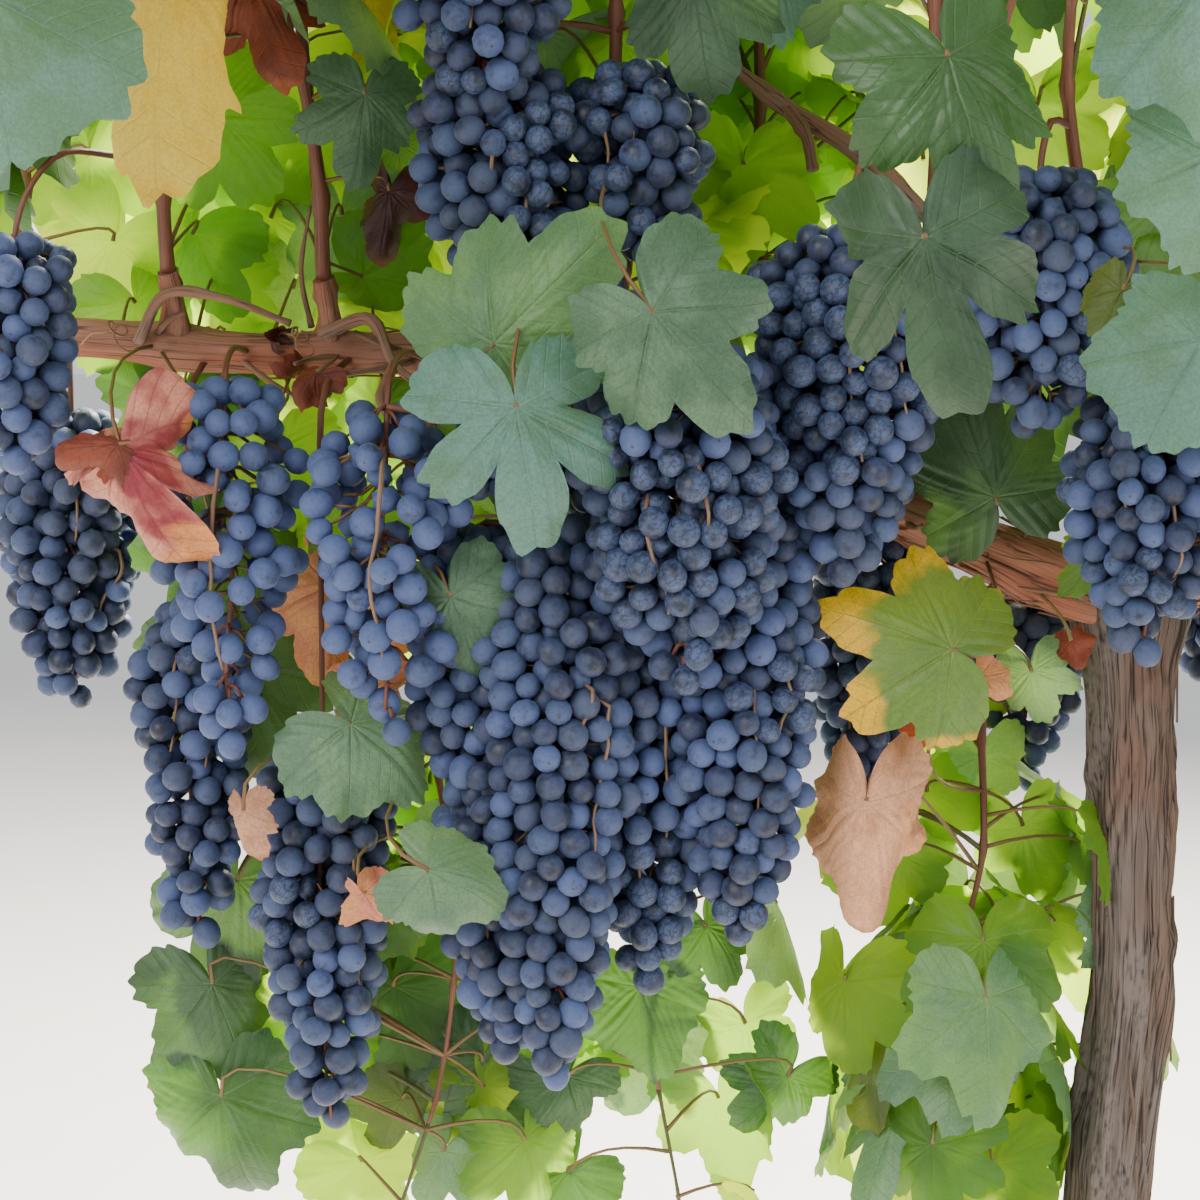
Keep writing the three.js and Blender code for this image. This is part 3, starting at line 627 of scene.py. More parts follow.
def stalk_line(bunch):
    """From the nearest cane or arm above the bunch, over and down into the fruit."""
    shoulder = vec(bunch.x, bunch.y, bunch.top + 0.004)
    places = [along(s.line, STALK_PLACES) for s in shoots if not s.trailing]
    for reach in np.arange(ARM_START + 0.056, ARM_REACH, 0.020):
        places.append([arm_point(-1, reach), arm_point(1, reach)])
    places = np.vstack(places)
    above = places[places[:, 2] > bunch.top + STALK_ARCH]
    choices = above if len(above) else places
    start = choices[np.argmin(np.linalg.norm(choices - shoulder, axis=1))]
    bend = mix(start, shoulder, 0.7)
    bend[2] = max(start[2], shoulder[2]) + 0.25 * STALK_ARCH
    inside = vec(bunch.x, bunch.y, bunch.top - 0.3 * bunch.length)
    return [start, bend, shoulder, inside]


def grow_bunches():
    bunches = []

    def grow(name, x, y, top, length, width, fill):
        bunch = Record(name=name, x=x, y=y, top=top, length=length, width=width, fill=fill)
        bunches.append(bunch)
        return bunch

    for number, row in enumerate(LEFT_BUNCHES):
        grow(f"bunch_left_{number + 1}", *mm(*row), LOOSE if number < LOOSE_COUNT else FULL)
    throw = dice(RIGHT_BUNCH_SEED)
    for number, reach in enumerate(RIGHT_SPURS):
        for face in (-1, 1) if number % 2 == 0 else (-1,):
            x = reach + throw(-0.016, 0.016)
            outward = throw(0.086, 0.126)
            y = face * (outward if face < 0 else outward - BEHIND_NEARER)
            name = f"bunch_right_{len(bunches) - len(LEFT_BUNCHES) + 1}"
            grow(name, x, y, throw(1.030, 1.140), throw(0.165, 0.235), throw(0.076, 0.100), FULL)
    for bunch in bunches:
        bunch.stalk = stalk_line(bunch)
    for parent, *row in WINGS:
        whole = bunches[parent - 1]
        wing = grow(whole.name, *mm(*row), FULL)
        tip = vec(wing.x, wing.y, wing.top)
        start = vec(whole.x, whole.y, min(wing.top + 0.01, whole.top))
        wing.stalk = [start, mix(start, tip, 0.5), tip, tip - UP * 0.3 * wing.length]
    return bunches


def bunch_radius(share):
    """How wide a bunch is at a share of its length from the top, as a part of its half width."""
    share = np.asarray(share, float)
    shoulder = np.sqrt(np.clip(1 - ((SHOULDER - share) / SHOULDER) ** 2 * 0.92, 0, 1))
    rest = np.clip((share - SHOULDER) / (1 - SHOULDER), 0, 1)
    return np.where(share < SHOULDER, shoulder, np.maximum(0.03, (1 - rest**2.1) ** 0.72))


def inside_fruit(points, spare):
    """True where a point is within spare of a bunch."""
    hit = np.zeros(len(points), bool)
    for bunch in bunches:
        share = (bunch.top - points[:, 2]) / bunch.length
        across = np.hypot(points[:, 0] - bunch.x, (points[:, 1] - bunch.y) / BUNCH_DEPTH)
        wide = bunch.width / 2 * bunch_radius(np.clip(share, 0, 1)) + spare
        hit |= (share > -0.03) & (share < 1.03) & (across < wide)
    return hit


bunches = grow_bunches()
print(len(bunches), "bunches")

# %% [markdown]
# ## Wood
# The bark of an old vine is stringy: long fibres run with the trunk, and grey outer strips peel off
# and show a red-brown layer. A bump alone would leave the outline smooth, so the strips are
# modelled with real edges. Finer streaks are a node group, pale on ridges and dark in grooves,
# where the dark is partly the bark's own colour and partly painted shade.

# %% Streaks that run along a stem, shared by bark and canes
STREAKS, nodes, takes, end = new_group(
    "Streaks",
    {
        "Place": None, "Girth": 0.02, "Ridge": (0.3, 0.2, 0.15, 1), "Groove": (0.02, 0.015, 0.01, 1),
        "Flush": (0.4, 0.2, 0.1, 1), "Flush share": 0.5, "Groove end": 0.54, "Fineness": 60.0,
    },
    {"Colour": "Color", "Height": "Float"},
)
round_share, length, _ = nodes.add("SeparateXYZ", [takes["Place"]])
turn = nodes.times(round_share, 2 * pi)
x, y = (nodes.times(nodes.math(wave, turn), takes["Girth"]) for wave in ("COSINE", "SINE"))
stem_place = nodes.add("CombineXYZ", (x, y, length))[0]
bent_place = nodes.moved(stem_place, (0.005, 0.005, 0), nodes.noise(stem_place, 26.0, 1, (1, 1, 0.6)))
wander = nodes.noise(bent_place, takes["Fineness"], 2, (1, 1, 0.035))
fibre = nodes.noise(bent_place, nodes.times(takes["Fineness"], 3.0), 2, (1, 1, 0.012))
patch = nodes.noise(stem_place, 22.0, 2, (1, 1, 0.4))
flakes = nodes.noise(stem_place, nodes.times(takes["Fineness"], 1.4), 2, (1, 1, 0.4))
crease = nodes.ramp(nodes.off_half(wander), 0.0, 0.06, 0.0, 0.18)
height = nodes.plus(crease, nodes.times(fibre, 0.75))
flaky = nodes.ramp(patch, 0.52, 0.62, 0.0, 0.6)
flaking = nodes.times(nodes.minus(flakes, height), flaky)
height = nodes.plus(height, flaking)
ridge = nodes.blend(nodes.ramp(patch, 0.36, 0.60), takes["Flush"], takes["Ridge"])
ridge = nodes.blend(takes["Flush share"], takes["Ridge"], ridge)
groove_end = takes["Groove end"]
# Low places of the relief take the groove colour: partly the bark's own darker colour, partly painted
# shade in the grooves.
shade = nodes.ramp(height, nodes.minus(groove_end, 0.27), groove_end)
nodes.fill(end, {"Colour": nodes.blend(shade, takes["Groove"], ridge), "Height": height})

# %% Bark and cane finishes
WOOD_BUMP = 0.8


def wood_material(name, ridge, groove, flush, flush_share, girth, groove_end, fineness, roughness,
                  depth):
    values = {"Ridge": ridge, "Groove": groove, "Flush": flush, "Flush share": flush_share,
              "Girth": girth, "Groove end": groove_end, "Fineness": fineness}
    material, nodes, shader, streaks = patterned_material(name, STREAKS, values, WOOD_BUMP, depth)
    nodes.fill(shader, {"Base Color": streaks["Colour"], "Roughness": roughness})
    return material


# Ridge, groove and flush colours, the flush's share, girth, where grooves end, fineness, roughness
# and the depth of the relief
# The groove colours are partly the wood's own colour and partly painted shade in the grooves.
WOOD_KINDS = {
    "trunk_bark": ((112, 100, 93), (44, 34, 29), (112, 76, 54), 0.6, 0.026, 0.57, 270, 0.92, 0.003),
    "trunk_shreds": ((106, 93, 85), (50, 39, 33), (100, 72, 54), 0.7, 0.01, 0.52, 300, 0.9, 0.001),
    "arm_bark": ((170, 120, 98), (78, 50, 38), (168, 96, 70), 0.8, 0.014, 0.51, 200, 0.85, 0.002),
    "peeling_bark": ((146, 112, 90), (66, 44, 34), (134, 84, 58),
                     0.6, 0.01, 0.54, 300, 0.85, 0.001),
    "dead_bark": ((140, 112, 96), (66, 48, 38), (156, 102, 68), 0.6, 0.006, 0.54, 320, 0.9, 0.001),
    "cane_skin": ((126, 76, 56), (66, 38, 28), (104, 58, 44), 0.6, 0.006, 0.5, 260, 0.5, 0.0006),
    "green_skin": ((84, 94, 44), (76, 62, 36), (92, 64, 42), 0.6, 0.004, 0.5, 260, 0.5, 0.0004),
    "rachis_skin": ((126, 100, 76), (80, 58, 46), (118, 86, 66), 0.6, 0.002, 0.5, 300, 0.6, 0.0003),
    "stalk_skin": ((126, 110, 58), (84, 58, 40), (116, 72, 50), 0.7, 0.002, 0.5, 300, 0.55, 0.0003),
    "dry_skin": ((156, 120, 84), (96, 66, 46), (134, 92, 62), 0.7, 0.002, 0.5, 300, 0.7, 0.0003),
}
wood = {name: wood_material(name, *values) for name, values in WOOD_KINDS.items()}
print(len(wood), "wood finishes:", ", ".join(wood))

# %% The relief of stringy bark
STRIP_DEPTH = 0.0042
FIBRE_DEPTH = 0.0011
BURR_DEPTH = 0.0022


def bark_relief(angles, distances, girth, seed):
    """How far the bark stands out at each angle and distance along a stem of this radius."""
    start = distances * 0
    wander = 0.5 * noise(np.stack([start, start, distances], -1), 9, seed)
    turn = angles + wander
    flat = np.stack([np.cos(turn) * girth, np.sin(turn) * girth, distances], -1)
    furrows = 1 - np.abs(noise(flat, (120, 120, 6), seed + 1))
    raised = np.clip(noise(flat, (75, 75, 9), seed + 2) * 5 + 0.4, 0, 1)
    torn = np.clip(noise(flat, (160, 160, 20), seed + 4) * 4, 0, 1)
    fibres = noise(flat, (420, 420, 20), seed + 3)
    burred = np.clip(noise(flat, (40, 40, 16), seed + 5) * 4 - 1.2, 0, 1)
    burrs = BURR_DEPTH * burred * (1 + noise(flat, (190, 190, 130), seed + 6))
    strips = 0.45 * raised + 0.25 * torn - 0.9 * furrows**6
    return STRIP_DEPTH * strips * (1 - 0.5 * burred) + FIBRE_DEPTH * fibres + burrs


sample = np.linspace(0, 2 * pi, 7)
print("relief sample in mm:", (bark_relief(sample, sample * 0.1, 0.02, 3) * 1000).round(1))

# %% [markdown]
# ### The trunk
# The trunk keeps the source's radii, flare and knob, so it fills the same space. Its mesh has
# level rings from the flat cut at the ground, fine enough for the strips of bark.

# %% The trunk
TRUNK_RINGS = 290
TRUNK_AROUND = 100
HEAD_KNOB_HEIGHT = 0.938
DOME_START = 0.946
TRUNK_BARK_SEED = 21
HEAD_SPUR_SEED = 40


def trunk_radius(height, angle):
    plain = mix(0.0245, 0.0215, height / TRUNK_HEIGHT)
    flare = 0.017 * np.exp(-height / 0.055) * (1 + 0.25 * np.sin(3 * angle))
    head = 0.0095 * np.exp(-(((height - HEAD_KNOB_HEIGHT) / 0.034) ** 2))
    top_share = np.clip((height - DOME_START) / (TRUNK_HEIGHT - DOME_START), 0, 1)
    dome = np.sqrt(1 - 0.8 * top_share**2)
    strips = 0.045 * np.cos(7 * angle + height / 0.26) + 0.04 * np.sin(3 * angle + height / 0.09)
    return (plain + flare + head) * dome * (1 + strips)


def add_trunk(pile):
    share = np.linspace(0, 1, TRUNK_RINGS)
    height = (TRUNK_HEIGHT * (share - 0.08 * np.sin(2 * pi * share)))[:, None]
    angle = all_round(TRUNK_AROUND)[None]
    height, angle = np.broadcast_arrays(height, angle)
    fine_line = smooth_line(TRUNK_LINE, 400)
    middle = along(fine_line, height[:, 0] / TRUNK_HEIGHT * length_of(fine_line))
    top_fade = np.clip((TRUNK_HEIGHT - height) / 0.02, 0, 1)
    relief = bark_relief(angle, height, 0.024, TRUNK_BARK_SEED) * top_fade
    radius = trunk_radius(height, angle) + relief
    x = middle[:, None, 0] + radius * np.cos(angle)
    y = middle[:, None, 1] + radius * np.sin(angle)
    rings = np.stack([x, y, height], -1).reshape(-1, 3)
    foot = vec(middle[0, 0], middle[0, 1], 0)
    tip = vec(middle[-1, 0], middle[-1, 1], TRUNK_HEIGHT + 0.001)
    places = np.stack([angle / (2 * pi), height], -1).reshape(-1, 2)
    places = np.vstack([places, [[0, 0], [0, TRUNK_HEIGHT]]])
    faces = tube_faces(TRUNK_RINGS, TRUNK_AROUND)
    pile.add(np.vstack([rings, foot, tip]), faces, places)


SPUR_RINGS = 26
SPUR_AROUND = 20


def add_spur(pile, foot, face, seed):
    """A stub of pruned wood, wide where it leaves the arm and ringed where the cane joins it."""
    lean = dice(seed)
    middle = foot + spur_heading(face) * SPUR_LENGTH / 2 + vec(lean() - 0.5, lean() - 0.5, 0) * 0.005
    line = smooth_line([foot, middle, foot + spur_heading(face) * SPUR_LENGTH], SPUR_RINGS)
    share = np.linspace(0, 1, SPUR_RINGS + 1)[:, None]
    angles = all_round(SPUR_AROUND)[None]
    radii = mix(0.0072, 0.0058, share) + 0.0065 * np.exp(-share / 0.16)
    radii = radii + 0.0014 * np.exp(-(((share - 0.82) / 0.07) ** 2))
    radii = radii * (1 + 0.16 * np.sin(2 * angles + 5 * share + 6 * lean()))
    share, angles, radii = np.broadcast_arrays(share, angles, radii)
    radii = radii + 0.4 * bark_relief(angles, share * SPUR_LENGTH * 2, 0.010, seed)
    add_tube(pile, line, radii, SPUR_AROUND)


trunk = Pile()
add_trunk(trunk)
add_spur(trunk, HEAD_SPUR_FOOT, LEFT_SHOOTS[0][0], HEAD_SPUR_SEED)
trunk.make("trunk_wood", wood["trunk_bark"], "bark", ["trunk"])

# %% [markdown]
# ### The arms
# An arm is old wood too, but younger outwards: the strips are deep near the head and almost smooth
# at the end, where the red-brown cane still shows. A spur stands at each knuckle. Each arm is a
# tube with the trunk's relief on its rings, scaled down as the wood gets younger.

# %% The arms and their spurs
LEFT_ARM_SEED = 60
RIGHT_ARM_SEED = 90


def add_arm(pile, side, spurs, plans, seed, rings, sides_round):
    reach = np.linspace(ARM_START, ARM_REACH, rings)
    line = np.array([arm_point(side, r) for r in reach])
    knuckles = sum(0.0026 * np.exp(-(((reach - spur) / 0.018) ** 2)) for spur in spurs)
    plain = (arm_radius(reach) + knuckles)[:, None]
    angles = all_round(sides_round)[None]
    twist = 1 + 0.07 * np.sin(3 * angles + reach[:, None] / 0.030)
    age = np.clip(1.25 - reach / 0.5, 0.12, 1)[:, None]
    distance, around = np.broadcast_arrays(reach[:, None], angles)
    radii = plain * twist + age * bark_relief(around, distance, 0.015, seed)
    add_tube(pile, line, radii, sides_round)
    for number, spur in enumerate(spurs):
        add_spur(pile, arm_point(side, spur), plans[number][0], seed + 10 + number)


for side, word, spurs, plans, seed, rings, sides_round in (
    (-1, "left", LEFT_SPURS, LEFT_SHOOTS[1:], LEFT_ARM_SEED, 260, 48),
    (1, "right", RIGHT_SPURS, right_plans(), RIGHT_ARM_SEED, 150, 32),
):
    arm = Pile()
    add_arm(arm, side, spurs, plans, seed, rings, sides_round)
    arm.make(f"arm_{word}_wood", wood["arm_bark"], "arm_bark", [f"arm_{word}"])

# %% [markdown]
# ### Peeling strips
# Thin ribbons of dead bark hang off old wood. Hairs could stand for them, but each is a closed
# ribbon here, with real thickness and one loose end.

# %% Loose strips of bark that stand off the wood
STRIP_SEED = 5
TRUNK_STRIPS = 60
ARM_STRIPS = 110


def add_strip(pile, foot, way, outward, length, width, lift):
    """A thin ribbon that lies along the wood and curls away from it at one end."""
    share = np.linspace(0, 1, 9)[:, None]
    across = unit(np.cross(way, outward))
    rise = lift * share**2.2
    curl = 0.25 * lift * np.sin(share * 7)
    middle = foot + way * length * share + outward * (0.0012 + rise) + across * curl
    half = width / 2 * np.sin(pi * np.clip(share * 0.92 + 0.06, 0, 1)) ** 0.5
    edge = outward * 0.0010
    corners = [middle - across * half, middle + edge, middle + across * half, middle - edge * 0.3]
    points = np.vstack([np.stack(corners, 1).reshape(-1, 3), middle[0], middle[-1]])
    pile.add(points, tube_faces(len(share), len(corners)), np.zeros((len(points), 2)))


trunk_strips, arm_strips = Pile(), Pile()
chance = np.random.default_rng(STRIP_SEED)
for _ in range(TRUNK_STRIPS):
    height = chance.uniform(0.03, 0.93)
    angle = chance.uniform(0, 2 * pi)
    outward = vec(cos(angle), sin(angle), 0)
    middle = along(smooth_line(TRUNK_LINE, 60), height)
    foot = middle + outward * (trunk_radius(height, angle) + 0.0006)
    way = UP if chance.uniform() < 0.5 else -UP
    length = min(chance.uniform(0.02, 0.065), height if way[2] < 0 else 0.965 - height)
    tilt = unit(way + 0.12 * chance.uniform(-1, 1) * np.cross(UP, outward))
    add_strip(trunk_strips, foot, tilt, outward, length, chance.uniform(0.0012, 0.0045),
              chance.uniform(0.0002, 0.0022))
for side in (-1, 1):
    for _ in range(ARM_STRIPS):
        reach = 0.02 + 0.42 * chance.uniform() ** 2
        angle = chance.uniform(0, 2 * pi)
        outward = vec(0, cos(angle), sin(angle))
        foot = arm_point(side, reach) + outward * arm_radius(reach)
        way = unit(arm_point(side, reach + 0.02) - arm_point(side, reach))
        way = way if chance.uniform() < 0.5 else -way
        tilt = unit(way + 0.25 * chance.uniform(-1, 1) * np.cross(way, outward))
        add_strip(arm_strips, foot, tilt, outward, chance.uniform(0.02, 0.055),
                  chance.uniform(0.0012, 0.004), chance.uniform(0.0005, 0.005))
trunk_strips.make("trunk_strips", wood["trunk_shreds"], "bark")
arm_strips.make("arm_strips", wood["peeling_bark"], "arm_bark")

# %% [markdown]
# ### Canes
# By the time the fruit is ripe, a shoot has turned to red-brown wood below and is still green at
# its tip. It swells at each node, where a leaf stands, and bends a little from node to node. A
# tube follows the shoot's line, because its rings can swell and its places guide the streaks.

# %% Canes and green tips
FIRST_NODE = 0.046
INTERNODE = 0.066
WOODY_SHARE = {"upright": 0.62, "weeping": 0.96, "trailing": 0.85}


def cane_shape(shoot):
    """A fine line and its radii, with a small zigzag and a swelling at each node."""
    length = length_of(shoot.line)
    distances = np.arange(0, length, 0.006)
    line = along(smooth_line(shoot.line, 90), distances)
    sides, _ = frames_along(line)
    phase = (distances - FIRST_NODE) / INTERNODE
    zigzag = np.abs((phase % 2) - 1) * 2 - 1
    line = line + sides * (0.0016 * zigzag * np.clip(distances / 0.05, 0, 1))[:, None]
    swelling = np.exp(-(((phase - np.round(phase)) * INTERNODE / 0.006) ** 2))
    taper = mix(shoot.thick, 0.0010, (distances / length) ** 0.62)
    return line, taper * (0.92 + 0.38 * swelling)


canes, green_tips = Pile(), Pile()
for shoot in shoots:
    line, radii = cane_shape(shoot)
    weeping = not shoot.trailing and shoot.line[-1][2] < shoot.line.max(0)[2] - 0.05
    habit = "trailing" if shoot.trailing else "weeping" if weeping else "upright"
    turn = int(len(line) * WOODY_SHARE[habit])
    add_tube(canes, line[: turn + 1], radii[: turn + 1], 10)
    add_tube(green_tips, line[turn:], radii[turn:], 6)
SHOOT_NAMES = [shoot.name for shoot in shoots]
canes.make("canes", wood["cane_skin"], "foliage", SHOOT_NAMES)
green_tips.make("green_tips", wood["green_skin"], "foliage")

# %% [markdown]
# ### Dead twigs and tendrils
# Short dead stubs are left where wood was cut, and a vine holds on by tendrils, which dry to tan
# springs. They sit along the arms, among the stalks of the bunches. Twigs that catch the eye are
# listed one by one, and seeded dice place the rest, which is enough for such small things.

# %% Dead twigs and tendrils
# Points along each dead twig that shows, then its radius
DEAD_TWIGS = [
    (mm(-115, 4, 1150), mm(-152, 16, 1188), mm(-190, 20, 1212),
     mm(-224, 22, 1238), 0.0062),
    (mm(-190, 20, 1212), mm(-180, 12, 1196), mm(-176, 6, 1176), 0.0040),
    (mm(-548, -10, 1082), mm(-530, -24, 1108), mm(-500, -26, 1106),
     mm(-462, -28, 1092), 0.0030),
    (mm(-446, -20, 1086), mm(-418, -34, 1094), mm(-404, -48, 1070),
     mm(-388, -60, 1058), 0.0034),
    (mm(-404, -48, 1070), mm(-410, -70, 1052), mm(-402, -90, 1040), 0.0026),
    (mm(-454, 2, 1090), mm(-458, -10, 1120), mm(-452, -14, 1156), 0.0014),
]
STUBS_PER_ARM = 22
TENDRILS_PER_ARM = 10
DEAD_TWIG_SEED = 61
DEAD_BARK_SEED = 77


def add_dead_twig(pile, points, radius):
    line = smooth_line(points, 18)
    rings, angles = np.meshgrid(np.linspace(0, 1, 19), np.arange(9) * pi / 4.5, indexing="ij")
    distances = lengths_along(line)[:, None] + 0 * angles
    relief = bark_relief(angles, distances, radius, DEAD_BARK_SEED)
    knots = 1 + 0.3 * np.clip(np.sin(11 * rings + 900 * radius) * 3 - 2, 0, 1)
    add_tube(pile, line, radius * mix(1.0, 0.6, rings) * knots + radius / 0.016 * relief, 9)


def add_tendril(pile, start, way, length, turns):
    """A tendril that sets off along way, sags, and winds up more tightly towards its end."""
    share = np.linspace(0, 1, 36)[:, None]
    side = unit(np.cross(way, UP))
    rise = np.cross(side, way)
    turn = 2 * pi * turns * share**1.5
    middle = start + way * length * share * (1 - 0.45 * share) - UP * 0.02 * share**2
    line = middle + 0.006 * share * (np.cos(turn) * rise + np.sin(turn) * side)
    add_tube(pile, line, np.linspace(0.0010, 0.0005, 36), 4)


def loose_way(throw):
    """A way that leads off an arm: to the front or back, up or down."""
    face = -1 if throw() < 0.65 else 1
    return unit(vec(throw(-0.9, 0.9), face * throw(0.3, 1.0), throw(-0.5, 0.9)))


dead_wood, tendrils = Pile(), Pile()
for *points, radius in DEAD_TWIGS:
    add_dead_twig(dead_wood, points, radius)
throw = dice(DEAD_TWIG_SEED)
for side in (-1, 1):
    for _ in range(STUBS_PER_ARM):
        foot = arm_point(side, throw(0.06, 0.66))
        way, bend, length = loose_way(throw), loose_way(throw), throw(0.018, 0.050)
        elbow = foot + way * (0.010 + 0.6 * length)
        add_dead_twig(dead_wood, [foot, elbow, elbow + unit(way + 0.9 * bend) * 0.6 * length],
                      throw(0.0009, 0.0024))
    for _ in range(TENDRILS_PER_ARM):
        start = arm_point(side, throw(0.06, 0.66)) + loose_way(throw) * 0.014
        add_tendril(tendrils, start, loose_way(throw), throw(0.04, 0.085), throw(1.2, 3.2))
dead_wood.make("dead_twigs", wood["dead_bark"], "arm_bark")
tendrils.make("tendrils", wood["dry_skin"], "foliage")

# %% [markdown]
# ## Leaves
# A vine leaf has five lobes with toothed edges round an open notch where the stalk joins. Five main
# veins run from that point into the lobes and sink into the upper side, and the blade swells
# between them. One template is bent in another way for each leaf. Leaves that show close to the
# camera have many more points than those behind.

# %% The blade's outline and relief
VEIN_SPREAD = radians(54)
# How far the edge is at each angle from the tip, for a leaf with shallow lobes and one with deep
LOBE_ANGLES = np.radians([0, 9, 17, 23, 28, 33, 41, 53, 65, 75, 83, 91, 100, 114, 129, 143, 156,
                          168, 180])
SHALLOW_LOBES = np.array([0.79, 0.76, 0.70, 0.65, 0.63, 0.64, 0.67, 0.68, 0.66, 0.61, 0.57, 0.57, 0.59,
                          0.59, 0.56, 0.49, 0.38, 0.21, 0.04])
DEEP_LOBES = np.array([0.84, 0.79, 0.66, 0.48, 0.30, 0.46, 0.62, 0.70, 0.64, 0.46, 0.27, 0.42, 0.54,
                       0.57, 0.54, 0.47, 0.36, 0.19, 0.04])
TOOTH_DEPTH = 0.085


def leaf_template(around, rings, teeth, lobes):
    """Places across and along a blade of width 1, its triangles, and how near the edge each is."""
    angles = all_round(around) - pi
    edge = np.interp(np.abs(angles), LOBE_ANGLES, mix(SHALLOW_LOBES, DEEP_LOBES, lobes))
    phase = angles * teeth / (2 * pi) + 0.3 * np.sin(4 * angles + 3 * lobes)
    wave = 1 - 2 * np.abs(phase % 1 - 0.5) ** 1.2 - 0.5
    notch = np.clip((pi - np.abs(angles)) / 0.5, 0, 1)
    depth = TOOTH_DEPTH * (1 + 0.6 * np.sin(7.3 * angles + 1) + 0.4 * np.sin(13.1 * angles)) * notch
    shares = np.linspace(0, 1, rings + 1)[1:] ** 0.85
    radius = shares[:, None] * edge * (1 + depth * wave * shares[:, None] ** 8)
    flat = np.stack([radius * np.sin(angles), radius * np.cos(angles)], -1).reshape(-1, 2)
    flat = np.vstack([flat, [[0, 0]]])
    step = np.arange(around)
    following = (step + 1) % around
    faces = [np.stack([np.full(around, len(flat) - 1), following, step], -1)]
    for ring in range(rings - 1):
        a, b = ring * around + step, ring * around + following
        c, d = a + around, b + around
        faces += [np.stack([a, b, d], -1), np.stack([a, d, c], -1)]
    near_edge = np.append(np.repeat(shares, around), 0)
    return flat, np.vstack(faces), near_edge


def blade_height(flat, near_edge, shape):
    """How the blade rises and falls: cup, fold along the midrib, waves at the edge, veins."""
    across, run = flat[:, 0], flat[:, 1]
    radius = np.hypot(across, run)
    angle = np.arctan2(across, run)
    ray = np.clip(np.round(angle / VEIN_SPREAD), -2, 2) * VEIN_SPREAD
    beside = radius * np.abs(np.sin(angle - ray))
    ahead = radius * np.cos(angle - ray)
    sunk = -shape.veins * np.exp(-((beside / 0.022) ** 2)) * np.clip(radius * 8, 0, 1)
    quilt = 0.55 * shape.veins * np.cos(2 * pi * (ahead - 0.8 * beside) / 0.1)
    waves = shape.crumple * shape.wave * near_edge**2 * np.sin(3 * angle + shape.phase)
    waves += 0.5 * shape.wave * near_edge**4 * np.sin(11 * angle + 2 * shape.phase)
    spot = np.stack([across, run, 0 * run + shape.phase], -1)
    buckle = shape.crumple * shape.buckle * radius * noise(spot, (3.2, 3.2, 1), 51)
    return -shape.cup * radius**2 - shape.fold * np.abs(across) + waves + sunk + quilt + buckle


def rolled(flat, height, shape):
    """The blade curled across its width and along its length, as it does when it dries."""
    across, run = flat[:, 0], flat[:, 1]
    for bend, sideways in ((shape.curl, True), (shape.nod, False)):
        arc = (across if sideways else run) * bend
        moved = (1 / bend + height) * np.sin(arc)
        height = (np.cos(arc) - 1) / bend + height * np.cos(arc)
        across, run = (moved, run) if sideways else (across, moved)
    return across, run, height


def blade_points(leaf, template, shape):
    flat, _, near_edge = template
    angle = np.arctan2(flat[:, 0], flat[:, 1])
    uneven = 1 + 0.07 * np.sin(2 * angle + shape.phase) + 0.05 * np.sin(5 * angle + 3 * shape.phase)
    flat = flat * uneven[:, None]
    height = blade_height(flat, near_edge, shape)
    across, run, height = rolled(flat, height, shape)
    right = np.cross(leaf.midrib, leaf.top)
    offsets = across[:, None] * right + run[:, None] * leaf.midrib + height[:, None] * leaf.top
    return leaf.palm + leaf.width * offsets


FAR_TEMPLATES = [leaf_template(36, 2, 18, lobes) for lobes in (0.2, 0.5, 0.85)]
NEAR_TEMPLATES = [leaf_template(88, 4, 32, lobes) for lobes in (0.2, 0.5, 0.85)]
FRONT_TEMPLATES = {lobes: leaf_template(168, 7, 30, lobes) for lobes in (0.0, 0.2, 0.5, 1.0)}
print("triangles of a leaf, far, near and in front:", len(FAR_TEMPLATES[0][1]),
      len(NEAR_TEMPLATES[0][1]), len(FRONT_TEMPLATES[0.5][1]))

# %% [markdown]
# ### Leaf finishes
# The upper side of a healthy leaf is green with paler veins; the lower side is greyer. Light that
# falls on the back of a leaf makes it glow yellow-green, so each finish lets part of the light
# through. Autumn kinds turn yellow, tan, red-brown or maroon. The veins are worked out in a node
# group from the place on the blade, which needs no picture and stays sharp close by.

# %% Veins and blotches, shared by every leaf finish
LEAF_PATTERN, nodes, takes, end = new_group(
    "Leaf pattern",
    {
        "Place": None, "Spot": None, "Blade": (0.1, 0.2, 0.05, 1), "Blotch": (0.08, 0.15, 0.05, 1),
        "Rim": (0.2, 0.2, 0.05, 1), "Vein": (0.3, 0.4, 0.15, 1), "Rim start": 0.6, "Vein share": 0.5,
    },
    {"Colour": "Color", "Height": "Float"},
)
across, run, _ = nodes.add("SeparateXYZ", [takes["Place"]])
angle = nodes.math("ARCTAN2", across, run)
ray = nodes.math("ROUND", nodes.math("DIVIDE", angle, VEIN_SPREAD))
ray = nodes.math("MAXIMUM", nodes.math("MINIMUM", ray, 2.0), -2.0)
local = nodes.minus(angle, nodes.times(ray, VEIN_SPREAD))
radius = nodes.add("VectorMath", [takes["Place"]], operation="LENGTH")["Value"]
beside = nodes.times(radius, nodes.math("ABSOLUTE", nodes.math("SINE", local)))
ahead = nodes.times(radius, nodes.math("COSINE", local))
half_width = nodes.minus(0.014, nodes.times(radius, 0.013))
main_vein = nodes.ramp(beside, 0.0, half_width, 1.0, 0.0)
slant = nodes.minus(ahead, nodes.times(beside, 0.8))
comb = nodes.off_half(nodes.math("FRACT", nodes.math("DIVIDE", slant, 0.1)))
side_vein = nodes.ramp(comb, 0.02, 0.07, 0.7, 0.0)
fine_vein = nodes.ramp(nodes.edges(takes["Place"], 34.0, "2D"), 0.0, 0.10, 0.2, 0.0)
veins = nodes.math("MAXIMUM", main_vein, nodes.math("MAXIMUM", side_vein, fine_vein))
blotches = nodes.noise(takes["Spot"], 38.0, 2)
